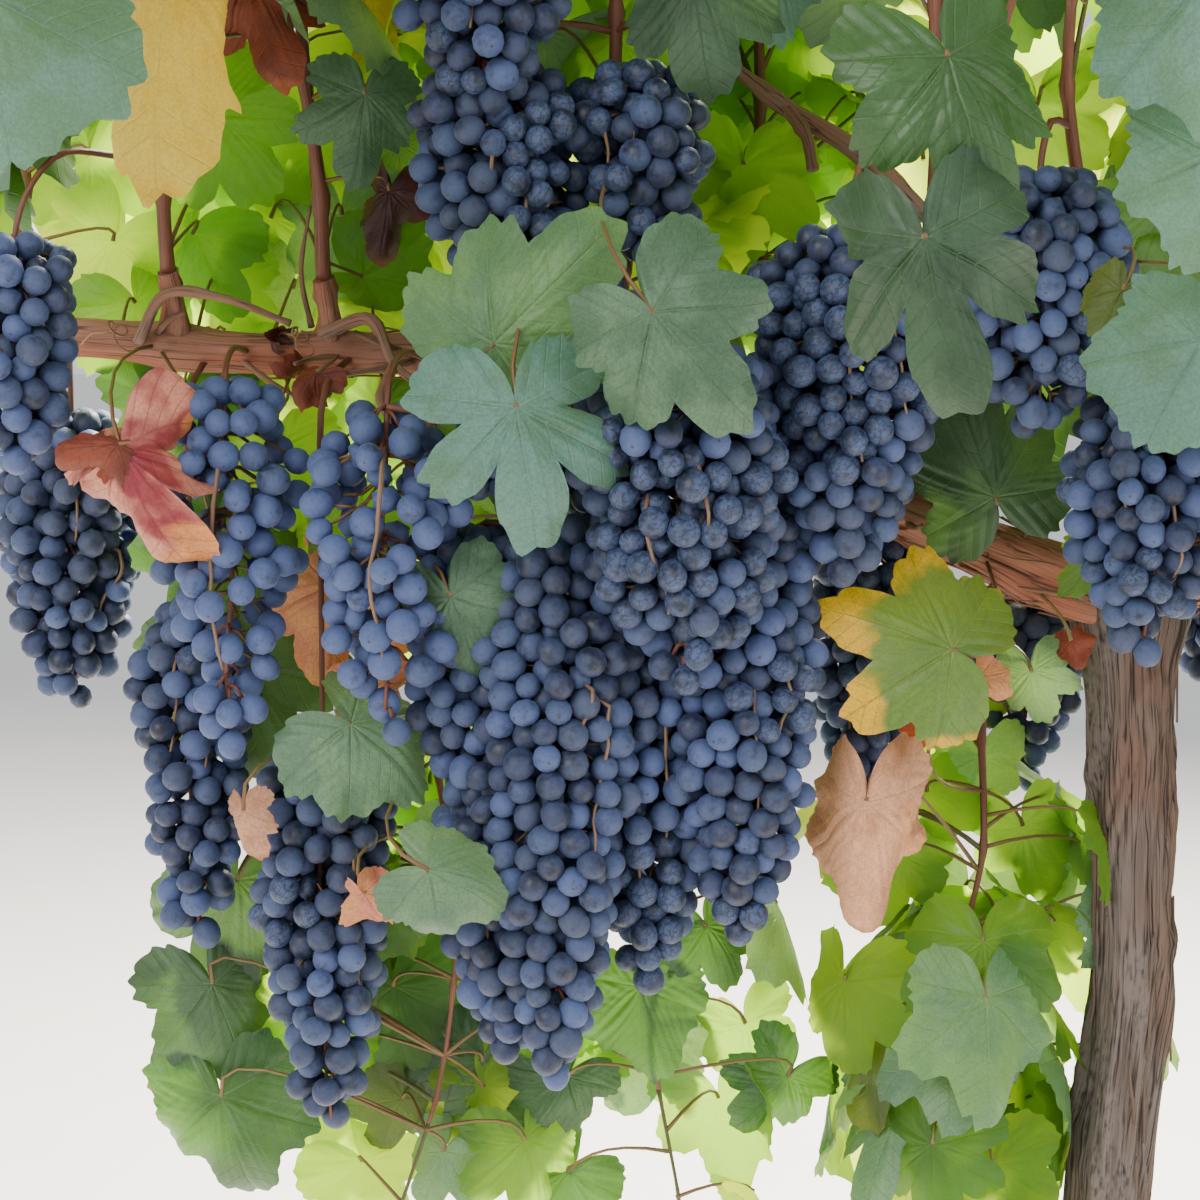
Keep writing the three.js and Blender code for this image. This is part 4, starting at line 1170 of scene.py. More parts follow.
grain = nodes.noise(takes["Spot"], 700.0, 0)
colour = nodes.blend(nodes.ramp(blotches, 0.42, 0.62), takes["Blade"], takes["Blotch"])
rim = nodes.plus(radius, nodes.times(nodes.minus(blotches, 0.5), 0.6))
rim_share = nodes.ramp(rim, takes["Rim start"], nodes.plus(takes["Rim start"], 0.16))
colour = nodes.blend(rim_share, colour, takes["Rim"])
colour = nodes.blend(nodes.times(veins, takes["Vein share"]), colour, takes["Vein"])
speck = nodes.ramp(grain, 0.3, 0.7, 0.86, 1.12)
tint = nodes.add("CombineColor", (speck, speck, speck))[0]
swell = nodes.minus(1.0, nodes.math("MAXIMUM", main_vein, side_vein))
nodes.fill(end, {"Colour": nodes.blend(1.0, colour, tint, "MULTIPLY"), "Height": swell})

# %% The kinds of leaf
VEIN_SHARE = 0.4
UNDERSIDE_SHARE = 0.65


def leaf_material(name, blade, blotch, rim, vein, under, glow, rim_start, through, roughness):
    """through is the share of light that passes the blade, and glow its colour."""
    values = {"Blade": blade, "Blotch": blotch, "Rim": rim, "Vein": vein, "Rim start": rim_start,
              "Vein share": VEIN_SHARE}
    material, nodes, shader, pattern = patterned_material(name, LEAF_PATTERN, values, 0.55, 0.0016)
    behind = nodes.times(nodes.add("NewGeometry")["Backfacing"], UNDERSIDE_SHARE)
    colour = nodes.blend(behind, pattern["Colour"], under)
    nodes.fill(shader, {"Base Color": colour, "Roughness": roughness})
    light = nodes.add("BsdfTranslucent", {"Color": glow})[0]
    both = nodes.add("MixShader", (through, shader.outputs[0], light))[0]
    nodes.put(material.node_tree.nodes["Material Output"].inputs["Surface"], both)
    return material


# Blade, blotch, rim, vein, underside, glow, where the rim starts, light let through, roughness
LEAF_KINDS = {
    # The first kind is a lighter copy of the fresh one: its lighter colours are painted sunlight, for
    # sun flecks.
    "bright": ((122, 156, 46), (98, 136, 40), (140, 158, 52), (154, 178, 78),
               (148, 176, 80), (226, 242, 72), 0.80, 0.70, 0.55),
    "fresh": ((88, 128, 38), (70, 110, 34), (112, 138, 42), (130, 158, 66),
              (122, 156, 66), (198, 232, 50), 0.80, 0.68, 0.55),
    "green": ((66, 102, 42), (54, 88, 40), (80, 110, 44), (112, 140, 72),
              (98, 126, 74), (172, 218, 48), 0.80, 0.48, 0.46),
    "dusty": ((82, 114, 90), (96, 128, 94), (92, 122, 78), (130, 156, 124),
              (106, 132, 100), (150, 190, 80), 0.80, 0.20, 0.50),
    "pale": ((88, 130, 116), (80, 118, 96), (98, 130, 98), (126, 158, 136),
             (124, 152, 132), (150, 190, 120), 0.85, 0.22, 0.55),
    "light": ((102, 140, 88), (84, 122, 86), (116, 146, 78), (138, 168, 116),
              (124, 150, 94), (176, 214, 80), 0.80, 0.30, 0.50),
    "shade": ((64, 94, 68), (82, 112, 84), (76, 102, 62), (106, 132, 100),
              (94, 118, 86), (110, 150, 60), 0.85, 0.15, 0.55),
    "deep": ((38, 62, 42), (52, 78, 54), (46, 70, 38), (72, 98, 66),
             (88, 112, 80), (100, 140, 50), 0.85, 0.15, 0.5),
    "dark": ((40, 72, 34), (54, 86, 48), (56, 80, 44), (84, 110, 72),
             (84, 108, 74), (100, 150, 40), 0.85, 0.22, 0.42),
    "olive": ((82, 96, 44), (68, 80, 40), (104, 98, 46), (122, 128, 76),
              (108, 114, 70), (160, 176, 50), 0.70, 0.32, 0.52),
    "turning": ((80, 118, 46), (72, 108, 50), (220, 164, 18), (122, 146, 74),
                (128, 146, 84), (190, 190, 40), 0.46, 0.22, 0.50),
    "yellow": ((222, 178, 62), (206, 158, 48), (184, 124, 50), (232, 200, 106),
               (216, 182, 96), (250, 214, 80), 0.80, 0.45, 0.55),
    "cream": ((255, 216, 92), (250, 198, 66), (214, 148, 48), (255, 228, 132),
              (252, 214, 110), (255, 230, 96), 0.80, 0.48, 0.60),
    "tan": ((204, 150, 118), (162, 110, 80), (180, 104, 62), (222, 178, 142),
            (176, 126, 96), (226, 160, 100), 0.66, 0.20, 0.75),
    "peach": ((212, 144, 96), (196, 118, 98), (212, 126, 58), (224, 164, 116),
              (214, 150, 108), (240, 160, 90), 0.60, 0.22, 0.70),
    "blush": ((206, 134, 112), (138, 44, 56), (216, 138, 74), (150, 52, 62),
              (212, 148, 114), (236, 150, 100), 0.50, 0.20, 0.62),
    "russet": ((126, 56, 32), (100, 42, 28), (150, 76, 38), (146, 82, 50),
               (128, 78, 54), (190, 84, 40), 0.70, 0.20, 0.65),
    "maroon": ((74, 34, 30), (54, 26, 25), (118, 60, 38), (96, 54, 44),
               (86, 54, 46), (140, 50, 30), 0.70, 0.14, 0.55),
}
leaf_materials = {
    kind: leaf_material(f"leaf_{kind}", *values) for kind, values in LEAF_KINDS.items()
}
leaf_piles = {kind: Pile() for kind in LEAF_KINDS}
print(len(leaf_piles), "kinds of leaf:", ", ".join(leaf_piles))

# %% [markdown]
# ### Leaves that show in front
# These leaves hang before the fruit where they catch the eye, each at its own place and angle,
# with its own colour, depth of lobes and curl. Some come again on the right arm, mirrored. A rule
# would scatter them anywhere, so they are listed one by one, with rows of fillers after them.

# %% The leaves in front
# In millimetres and degrees: palm x, y, z, midrib angle, width, forward tip, roll, 1 if it comes
# again on the right, and the kind. Then the lobes, curl and nod of a leaf that isn't plain.
PLAIN_FORM = (0.5, 0.8, 0.5)
LISTED_LEAVES = [
    (-345, -184, 1082, 45, 104, 16, 10, 0, "light", 0.5, 0.7, 0.8),
    (-334, -206, 1052, -80, 100, 4, -4, 1, "pale", 1.0, 1.0, 0.6),
    (-269, -226, 1097, -50, 88, 10, 14, 0, "shade", 0.5, 0.6, 0.7),
    (-157, -405, 1196, -72, 86, 12, -12, 0, "dark", 0.5, 1.0, 0.5),
    (-168, -428, 1124, -80, 96, 4, 14, 0, "deep", 1.0, 1.7, 0.5),
    (-249, -152, 1263, -84, 78, 8, 14, 1, "deep", 0.5, 0.7, 0.6),
    (-213, -100, 1275, -60, 62, 0, -20, 0, "pale", 0.0, 0.5, 0.5),
    (-32, -296, 1239, -80, 88, 20, 10, 0, "pale", 0.0, 0.5, 0.5),
    (-18, -262, 1167, -100, 70, 5, -10, 0, "pale", 0.0, 0.6, 0.5),
    (-11, -220, 1084, -122, 82, 10, 12, 0, "pale", 0.0, 0.6, 0.6),
    (-83, -62, 1000, 111, 92, 10, -10, 0, "deep"),
    (-113, -120, 925, 157, 93, 5, 6, 0, "turning", 0.5, 0.6, 0.5),
    (-154, -98, 842, -94, 104, 8, 12, 1, "tan", 0.0, 2.6, 0.8),
    (-117, -70, 873, 80, 34, 10, 20, 0, "russet", 0.5, 2.0, 1.0),
    (-54, -14, 900, -75, 46, 0, 30, 0, "dusty"),
    (-533, -150, 1029, -69, 100, 20, 15, 0, "blush", 1.0, 2.6, 1.5),
    (-438, -52, 952, -108, 96, 5, 6, 1, "peach", 0.5, 1.6, 0.8),
    (-418, -76, 898, -85, 52, 5, 10, 0, "peach", 0.5, 1.8, 0.9),
    (-424, -106, 884, -34, 82, 4, -22, 0, "dusty", 0.2, 1.3, 0.6),
    (-370, -136, 954, -72, 60, 0, 14, 0, "shade", 0.2, 0.8, 0.5),
    (-380, -160, 818, -24, 62, 6, -10, 1, "dusty", 0.0, 1.1, 0.7),
    (-500, 4, 778, -104, 112, 0, 5, 1, "deep"),
    (-411, -20, 774, -118, 56, 5, 10, 0, "green", 0.0, 0.8, 0.6),
    (-432, 20, 727, -90, 60, 5, -10, 0, "olive", 0.5, 0.8, 0.6),
    (-271, -4, 718, -79, 66, 10, 10, 1, "dark", 0.0, 0.8, 0.6),
    (-234, -4, 753, -68, 52, 5, -10, 0, "dark", 0.5, 0.8, 0.6),
    (-309, 26, 683, -90, 62, 5, 15, 0, "green", 0.5, 0.8, 0.6),
    (-502, -185, 1258, -96, 126, 0, 10, 1, "cream", 0.2, 4.4, 0.4),
    (-474, -92, 1268, -74, 78, 5, 10, 0, "russet", 0.5, 2.0, 0.7),
    (-415, -90, 1209, -95, 58, 5, -15, 1, "shade", 0.5, 1.0, 0.6),
    (-562, -290, 1234, -83, 106, 15, 5, 0, "pale", 0.0, 0.5, 0.5),
    (-16, -60, 974, -140, 48, 5, 10, 0, "green"),
    (-92, -80, 906, -50, 26, 10, 30, 0, "peach", 0.0, 1.8, 1.0),
    (-37, -40, 920, -80, 24, 10, 20, 0, "russet", 0.0, 1.8, 1.0),
    (-480, -110, 839, -80, 36, 10, 20, 0, "tan", 0.5, 2.4, 1.0),
    (-416, -118, 797, -60, 36, 10, 20, 0, "peach", 0.0, 2.0, 1.0),
    (-406, -50, 1162, -100, 48, 0, 10, 0, "maroon", 0.5, 2.2, 0.8),
    (-447, -40, 1066, -150, 34, 10, 30, 0, "russet", 0.0, 3.4, 1.6),
    (-505, -20, 1205, -60, 80, 0, 20, 0, "green", 0.5, 0.8, 0.6),
    (-470, 30, 1235, -110, 90, 0, -20, 0, "fresh", 0.5, 0.8, 0.6),
    (-425, 0, 1118, -20, 66, 0, 50, 0, "green", 0.0, 1.4, 0.6),
    (-534, -150, 1032, 178, 44, 10, 20, 0, "russet", 0.5, 2.6, 1.2),
    (-100, -30, 1080, -100, 70, 0, 10, 0, "dark", 0.5, 0.9, 0.5),
    (-470, -30, 1022, -80, 60, 0, 10, 1, "fresh", 0.2, 0.9, 0.5),
    (-425, -50, 985, -110, 66, 0, 10, 1, "green", 0.2, 0.9, 0.5),
    (-500, -10, 905, -70, 110, 0, 8, 1, "deep"),
    (-516, 10, 716, -70, 84, 0, -8, 0, "deep", 0.2, 0.8, 0.5),
    (-106, 30, 824, -80, 62, 0, 10, 0, "fresh"),
    (-75, 34, 844, -100, 58, 0, -10, 0, "light"),
    (-50, 30, 804, -75, 64, 0, 12, 0, "green"),
    (-122, 26, 788, -100, 66, 0, -8, 0, "green"),
    (-413, 20, 712, -85, 85, 0, 10, 0, "green"),
    (-362, 20, 668, -100, 80, 0, -10, 0, "dark"),
    (-438, 30, 684, -110, 80, 0, 8, 0, "fresh"),
    (-340, 24, 744, -75, 70, 0, 10, 0, "green"),
    (-46, 50, 1215, -90, 85, 0, 10, 0, "fresh"),
    (-110, 50, 1185, -100, 85, 0, -10, 0, "bright"),
    (-478, 30, 700, -100, 70, 0, 10, 0, "green", 0.2, 0.8, 0.5),
    (-44, 30, 1066, -95, 85, 0, 10, 0, "dark", 0.5, 0.9, 0.5),
    (-214, 20, 1180, -95, 80, 0, 10, 0, "fresh", 0.5, 0.9, 0.5),
    (-41, -180, 1108, -118, 36, 5, 10, 0, "olive", 0.2, 0.9, 0.6),
    (-512, 10, 650, -80, 90, 0, 8, 0, "dark", 0.2, 0.8, 0.5),
]
shown_rows = []
for x, y, z, angle, width, forward, roll, again, kind, *form in LISTED_LEAVES:
    shown_rows.append((x / 1000, y / 1000, z / 1000, angle, width / 1000, forward, roll, again, kind,
                       *(form or PLAIN_FORM)))


def add_row(x, y, z, tilt, width, roll, again, kind):
    """One more leaf that hangs straight down but for its tilt."""
    shown_rows.append((x, y, z, tilt - 90, width, 0, roll, again, kind, 0.5, 0.9, 0.5))


# Sunlit leaves that fill the gap behind the left arm, in three rows, some with painted sunlight
for number in range(18):
    level, place = divmod(number, 6)
    add_row(0.043 * place + 0.012 * level - 0.580, 0.028 + 0.012 * (number % 3),
            1.186 - 0.040 * level + 0.008 * sin(5 * number), 30 * sin(7 * number),
            0.085 - 0.008 * level, 20 * sin(3 * number), 1,
            ("fresh", "bright", "green", "fresh", "light")[number % 5])
# Shaded leaves behind the loose bunches of the left arm, in two rows
for number in range(8):
    level, place = divmod(number, 4)
    add_row(0.056 * place + 0.020 * level - 0.530, 0.024 + 0.010 * (number % 2),
            1.046 - 0.072 * level, 40 * sin(5 * number), 0.092, 20 * sin(4 * number), 0,
            ("dark", "fresh", "green", "deep")[number % 4])
# Leaves round the lower ends of the two trailing shoots in the picture, each shoot's x first
for shoot_x, count in ((-0.385, 12), (-0.258, 5)):
    for number in range(count):
        add_row(shoot_x + 0.024 * (number * 5 % 7 - 3), 0.010 + 0.010 * (number % 4),
                0.700 - 0.0095 * number, 40 * sin(9 * number),
                0.064 + 0.012 * sin(4 * number), 20 * sin(3 * number), 0,
                ("fresh", "green", "dusty", "fresh", "dark", "bright", "olive")[number % 7])
print(len(shown_rows), "leaves placed in front")

# %% Their stalks, directions and blades
MIRROR_SHIFT = 0.026
ROOT_STEP = 0.045
FACING = vec(0, -1, 0.25)
SHOWN_VEINS = 0.009
SHOWN_SEED = 700
# Leaves behind this depth are plainer
SHOWN_DEPTH = 0.012
DRY_KINDS = ("tan", "peach", "blush", "russet", "maroon")

stalk_roots = [along(s.line, np.arange(0.010, length_of(s.line) - 0.02, ROOT_STEP)) for s in shoots]
for side in (-1, 1):
    stalk_roots.append([arm_point(side, reach) for reach in np.arange(0.08, 0.66, 0.02)])
stalk_roots = np.vstack(stalk_roots)


def shown_leaf(row, twin):
    x, y, z, angle, width, forward, roll, _, kind, lobes, curl, nod = row
    if twin:
        x, angle, roll = -x + MIRROR_SHIFT, 180 - angle, -roll
    angle, forward, roll = (radians(value) for value in (angle, forward, roll))
    ahead = cos(forward)
    midrib = vec(cos(angle) * ahead, -sin(forward), sin(angle) * ahead)
    top = turned(unit(FACING - midrib * midrib.dot(FACING)), midrib, roll)
    palm = vec(x, y, z)
    behind = stalk_roots[stalk_roots[:, 1] > min(y - 0.020, -0.030)]
    root = behind[np.argmin(np.linalg.norm(behind - palm, axis=1))]
    return Record(root=root, palm=palm, midrib=midrib, top=top, width=width, kind=kind, lobes=lobes,
                  curl=curl, nod=nod)


def leaf_shape(seed, curl, nod, veins, crumple):
    throw = dice(seed)
    return Record(
        cup=throw(-0.05, 0.25), fold=throw(0, 0.14), wave=throw(0.015, 0.045), phase=throw(0, 6),
        buckle=throw(0.05, 0.16), curl=curl, nod=nod, veins=veins, crumple=crumple,
    )


def add_blade(kind, leaf, template, shape):
    flat, faces, _ = template
    leaf_piles[kind].add(blade_points(leaf, template, shape), faces, flat)


stalked_leaves, shown_leaves = [], []
for number, row in enumerate(shown_rows):
    for twin in (False, True) if row[7] else (False,):
        leaf = shown_leaf(row, twin)
        plain = twin or leaf.palm[1] > SHOWN_DEPTH
        template = NEAR_TEMPLATES[1] if plain else FRONT_TEMPLATES[leaf.lobes]
        crumple = 1.5 if leaf.kind == "tan" else 3.2 if leaf.kind in DRY_KINDS else 1
        shape = leaf_shape(SHOWN_SEED + number, leaf.curl, leaf.nod, SHOWN_VEINS, crumple)
        add_blade(leaf.kind, leaf, template, shape)
        stalked_leaves.append(leaf)
        shown_leaves.append(leaf)
print(len(shown_leaves), "leaves in front, with those that come again on the right")

# Bare wood that shows between the leaves: its place and how wide the gap is
SHOWN_WOOD = (
    (mm(-190, 10, 1205), 0.12), (mm(-150, 10, 1180), 0.09),
    (mm(-40, -90, 1165), 0.08), (mm(-43, -100, 1205), 0.08),
    (mm(-48, -130, 1250), 0.08),
)
for place, width in SHOWN_WOOD:
    shown_leaves.append(Record(palm=place, width=width, midrib=vec(0, 0, 0)))

# %% Dry scraps of leaf that are caught along the arms
SCRAPS_PER_ARM = 11
SCRAP_SEED = 83
SCRAP_SHAPE_SEED = 600
SCRAP_KINDS = ("tan", "russet", "maroon", "peach", "russet")
SMALL_VEINS = 0.008

throw = dice(SCRAP_SEED)
for side in (-1, 1):
    for number in range(SCRAPS_PER_ARM):
        foot = arm_point(side, throw(0.08, 0.62))
        out = loose_way(throw)
        midrib = unit(loose_way(throw) - UP * 0.6)
        top = unit(np.cross(midrib, np.cross(out, midrib)))
        palm = foot + out * throw(0.018, 0.034)
        scrap = Record(palm=palm, midrib=midrib, top=top, width=throw(0.022, 0.042))
        shape = leaf_shape(SCRAP_SHAPE_SEED + number, throw(2, 4), throw(1, 2.4), SMALL_VEINS, 3)
        add_blade(SCRAP_KINDS[number % 5], scrap, NEAR_TEMPLATES[number % 3], shape)
print(2 * SCRAPS_PER_ARM, "scraps")

# %% [markdown]
# ### Leaves by rule
# The rest grow as in the source: a leaf at each node, left and right in turn, and at some nodes a
# side twig with leaves. Here each node also has a finer side twig with small leaves of its own.
# Leaves that would stand in the fruit, or leave the shoot's own space, are skipped.

# %% The rule for leaves and twigs
LIFE_SIZE = 0.92
LOW_LEAF_WIDTH = 0.082
LEAF_WIDTH = (0.130, 0.158)
LEAF_STALK = (0.056, 0.092)
STALK_RISE = (12, 48)
TRAILING_RISE = (-10, 25)
BLADE_DROOP = (18, 74)
TRAILING_DROOP = (45, 82)
BLADE_ROLL = (-28, 28)
LEAF_SCATTER = 1.9
PICKED_HEIGHT = 1.232
TWIG_NODES = (4, 8)
TWIG_LENGTH = (0.090, 0.140)
TWIG_LEAVES = ((0.55, 0.5), (1, 0.62))
TWIG_BOW = 0.005
TIP_LEAF_SIZE = 0.42
LEAF_FADE = 0.360
RANK_OUTWARD = 0.4


def rule_leaf(root, azimuth, size, trailing, throw):
    turn = azimuth + (throw() - 0.5) * LEAF_SCATTER
    rise = radians(throw(*(TRAILING_RISE if trailing else STALK_RISE)))
    droop = radians(throw(*(TRAILING_DROOP if trailing else BLADE_DROOP)))
    roll = radians(throw(*BLADE_ROLL))
    width = throw(*LEAF_WIDTH) * size
    stalk = throw(*LEAF_STALK) * (0.4 + 0.6 * size)
    out = vec(cos(turn), sin(turn), 0)
    palm = root + stalk * (out * cos(rise) + UP * sin(rise))
    midrib = out * cos(droop) - UP * sin(droop)
    top = turned(out * sin(droop) + UP * cos(droop), midrib, roll)
    return Record(root=root, palm=palm, midrib=midrib, top=top, width=width)


def twig_between(root, tip):
    return [root, (root + tip) / 2 + UP * TWIG_BOW, tip]


def bowed(twig, share):
    """Points along a twig that bows through its middle point."""
    start, middle, tip = twig
    return bent(start, 2 * middle - (start + tip) / 2, tip, share)


def on_twig(twig, share, azimuth, size, trailing, throw):
    """A leaf at a share of a twig's length, with its stalk rooted where the twig bows to."""
    leaf = rule_leaf(mix(twig[0], twig[2], share), azimuth, size, trailing, throw)
    leaf.root = bowed(twig, share)
    return leaf


def growth_of(shoot):
    """Leaves and twigs at each node of a shoot, thrown in the source's order."""
    throw = dice(shoot.seed)
    length = length_of(shoot.line)
    sprays = []
    for node in range(int((length - FIRST_NODE) / INTERNODE) + 1):
        distance = FIRST_NODE + node * INTERNODE
        root = along(shoot.line, distance)
        size = min(1, TIP_LEAF_SIZE + (length - distance) / LEAF_FADE)
        rank = 1 if node % 2 == 0 else -1
        azimuth = atan2(shoot.face * RANK_OUTWARD, rank * (1 - RANK_OUTWARD))
        leaf = rule_leaf(root, azimuth, size, shoot.trailing, throw)
        picked = not shoot.trailing and shoot.face < 0 and leaf.palm[2] < PICKED_HEIGHT
        spray = Record(root=root, azimuth=azimuth, size=size, picked=picked, twig=None, leaves=[])
        if node in TWIG_NODES and not picked:
            way = unit(leaf.palm - root)
            tip = root + way * throw(*TWIG_LENGTH)
            spray.twig = twig_between(root, tip)
            spray.leaves = [
                on_twig(spray.twig, share, azimuth, size * part, shoot.trailing, throw)
                for share, part in TWIG_LEAVES
            ]
        elif not picked:
            spray.leaves = [leaf]
        sprays.append(spray)
    return sprays


# %% Finer side twigs, and what each spray's colour is
SIDE_TWIG_SEED = 400
SIDE_LEAVES = ((0.35, 0.55), (0.68, 0.62), (1.0, 0.55))
FRONT_KINDS = (("green", 5), ("dark", 4), ("shade", 3), ("dusty", 2), ("light", 2), ("yellow", 0.4))
# Leaves at the back often take the lighter kind whose colours are painted sunlight.
BACK_KINDS = (("fresh", 7), ("bright", 4), ("green", 3), ("light", 2), ("dark", 0.6), ("yellow", 0.5))
LOW_KINDS = (("fresh", 4), ("bright", 0.6), ("light", 3), ("green", 4), ("dusty", 2), ("olive", 1))
FRUIT_SPARE = 0.008
SPACE_SPARE = 0.015
PICTURE_REACH = 0.26
LOW_HEIGHT = 0.95


def pick_kind(kinds, throw):
    """One name, as often as its weight says."""
    left = throw() * sum(weight for _, weight in kinds)
    for kind, weight in kinds:
        left -= weight
        if left <= 0:
            return kind
    return kinds[0][0]


def side_twig(shoot, spray, throw):
    """A short twig on the other side of the node from its leaf, with a few small leaves."""
    azimuth = spray.azimuth + pi * throw(0.55, 1.45)
    if shoot.face * sin(azimuth) < 0:
        azimuth = -azimuth
    rise = radians(throw(5, 60))
    way = vec(cos(azimuth) * cos(rise), sin(azimuth) * cos(rise), sin(rise))
    size = 1 if shoot.trailing else spray.size
    tip = spray.root + way * throw(0.045, 0.100) * mix(0.6, 1, size)
    twig = twig_between(spray.root, tip)
    leaves = [
        on_twig(twig, share, azimuth + (throw() - 0.5) * 2, size * part, shoot.trailing, throw)
        for share, part in SIDE_LEAVES
    ]
    return twig, leaves


def hides_fruit(points):
    """True where a point hangs in front of a bunch."""
    for bunch in bunches:
        beside = np.abs(points[:, 0] - bunch.x) < bunch.width / 2 + FRUIT_SPARE
        level = (points[:, 2] < bunch.top + 0.01) & (points[:, 2] > bunch.top - bunch.length)
        if (beside & level & (points[:, 1] < bunch.y)).any():
            return True
    return False


def blade_middle(leaf):
    return leaf.palm + 0.3 * leaf.width * leaf.midrib


def hides_leaf(points):
    """True where a point hangs close before or behind one of the leaves in front."""
    for leaf in shown_leaves:
        middle = blade_middle(leaf)
        beside = np.hypot(points[:, 0] - middle[0], points[:, 2] - middle[2]) < 0.42 * leaf.width
        if (beside & (points[:, 1] < middle[1] + 0.025)).any():
            return True
    return False


def has_room(shoot, leaf):
    """True where a leaf keeps to its shoot's space, out of the fruit and not in front of it."""
    tip = leaf.palm + leaf.midrib * leaf.width * 0.8
    middle = blade_middle(leaf)
    right = np.cross(leaf.midrib, leaf.top) * leaf.width * 0.45
    points = np.array([leaf.palm, middle, tip, middle + right, middle - right])
    kept = np.all((points > shoot.low - SPACE_SPARE) & (points < shoot.high + SPACE_SPARE))
    shows = hides_fruit(points) or hides_leaf(points)
    return kept and not shows and not inside_fruit(points, 0.006).any()


def in_picture(point):
    """True where a point is seen, or nearly."""
    away = point[1] - CAMERA_PLACE[1]
    level = atan2(point[2] - CAMERA_PLACE[2], away) + CAMERA_DIP
    return abs(point[0] - CAMERA_PLACE[0]) < PICTURE_REACH * away and abs(level) < PICTURE_REACH


def add_rule_leaf(leaf, kind, throw):
    """Puts a leaf in its kind's pile, more finely if it is in the picture."""
    leaf.width *= LIFE_SIZE
    if leaf.palm[2] < LOW_HEIGHT:
        leaf.width = min(leaf.width, LOW_LEAF_WIDTH)
    templates = NEAR_TEMPLATES if in_picture(leaf.palm) else FAR_TEMPLATES
    template = templates[int(3 * throw()) % 3]
    curl = throw(1.2, 2.6) if kind == "yellow" else throw(0.3, 1.3)
    shape = leaf_shape(int(throw() * 1e6), curl, throw(0.2, 1.1), SMALL_VEINS, 1.2)
    add_blade(kind, leaf, template, shape)
    stalked_leaves.append(leaf)
    palms.append(leaf.palm)


twigs, palms = [], []
for shoot in shoots:
    throw = dice(shoot.seed + SIDE_TWIG_SEED)
    for spray in growth_of(shoot):
        low = spray.root[2] < LOW_HEIGHT
        kinds = LOW_KINDS if low else FRONT_KINDS if shoot.face < 0 else BACK_KINDS
        kind = pick_kind(kinds, throw)
        twig, small = side_twig(shoot, spray, throw)
        groups = [(spray.twig, spray.leaves, kind)]
        if not spray.picked:
            groups.append((twig, small, pick_kind(kinds, throw)))
        for branch, leaves, leaf_kind in groups:
            grown = [leaf for leaf in leaves if has_room(shoot, leaf)]
            if branch is not None and grown:
                twigs.append(branch)
            for leaf in grown:
                add_rule_leaf(leaf, leaf_kind, throw)
print(len(palms), "leaves by rule,", len(twigs), "twigs")

# %% Leaves that fill the curtain above the arms
CURTAIN_SEED = 5000
# Tries, on trailing shoots, with drooping leaves, from and to along a shoot, and the palms' gap
CURTAIN_PASSES = (
    (1500, False, True, 0.01, 0.12, 0.032), (2400, False, False, 0.02, 0.26, 0.032),
    (900, False, False, 0.26, 0.60, 0.048), (800, True, True, 0.03, 0.46, 0.032),
)


def fill_curtain(tries, trailing, droops, first, last, gap, throw):
    choices = [shoot for shoot in shoots if shoot.trailing == trailing]
    for _ in range(tries):
        shoot = choices[int(throw() * len(choices))]
        root = along(shoot.line, throw(first, last))
        backward = throw() < 0.8
        azimuth = (1 if backward else -1) * pi * throw()
        leaf = rule_leaf(root, azimuth, throw(0.55, 0.95), droops, throw)
        kinds = LOW_KINDS if trailing else BACK_KINDS if leaf.palm[1] > 0 else FRONT_KINDS
        kind = pick_kind(kinds, throw)
        apart = np.linalg.norm(np.array(palms) - leaf.palm, axis=1).min()
        if apart > gap and has_room(shoot, leaf):
            add_rule_leaf(leaf, kind, throw)


curtain_dice = dice(CURTAIN_SEED)
for curtain_pass in CURTAIN_PASSES:
    fill_curtain(*curtain_pass, curtain_dice)
    print(len(palms), "leaves after filling", curtain_pass)

# %% Leaf meshes, stalks and twigs
for kind, pile in leaf_piles.items():
    pile.make(f"leaves_{kind}", leaf_materials[kind], "foliage")

stalks, side_twigs = Pile(), Pile()
for leaf in stalked_leaves:
    length = np.linalg.norm(leaf.palm - leaf.root)
    arrive = leaf.palm - leaf.midrib * 0.35 * length
    steps, sides = (7, 5) if in_picture(leaf.palm) else (4, 3)
    share = np.linspace(0, 1, steps)
    radii = 0.0009 + 0.0005 * (2 * share - 1) ** 2
    add_tube(stalks, bent(leaf.root, arrive, leaf.palm, share), radii, sides)
for twig in twigs:
    add_tube(side_twigs, bowed(twig, np.linspace(0, 1, 7)), np.linspace(0.0018, 0.0009, 7), 5)
stalks.make("leaf_stalks", wood["stalk_skin"], "foliage")
side_twigs.make("side_twigs", wood["green_skin"], "foliage")

# %% [markdown]
# ## Fruit
# A berry is a ball about 16 mm across, a little longer than wide, with a dark skin under a pale
# bloom of wax. The bloom is thick and even on some berries and rubbed or cracked on others. At the
# far end from its stalk is the small brown scar of the flower. One node group lays wax over skin
# by noise in space, so neighbours differ without a picture for each.

# %% Berry finishes
BLOOM, nodes, takes, end = new_group(
    "Bloom",
    {
        "Place": None, "Spot": None, "Skin": (0.01, 0.01, 0.03, 1), "Wax": (0.12, 0.16, 0.3, 1),
        "Worn": 0.3, "Cracks": 0.0,
    },
    {"Colour": "Color", "Height": "Float", "Wax share": "Float"},
)
cloud = nodes.noise(takes["Spot"], 95.0, 2)
fine = nodes.noise(takes["Spot"], 520.0, 2)
web = nodes.edges(nodes.moved(takes["Spot"], (0.005, 0.005, 0.005), fine), 240.0)
line_width = nodes.ramp(cloud, 0.38, 0.66, 0.03, 0.18)
crack = nodes.times(nodes.ramp(web, 0.0, line_width, 1.0, 0.0), takes["Cracks"])
cover = nodes.plus(nodes.times(cloud, 0.7), nodes.times(fine, 0.3))
wax = nodes.ramp(cover, nodes.times(takes["Worn"], 0.9), nodes.plus(takes["Worn"], 0.25))
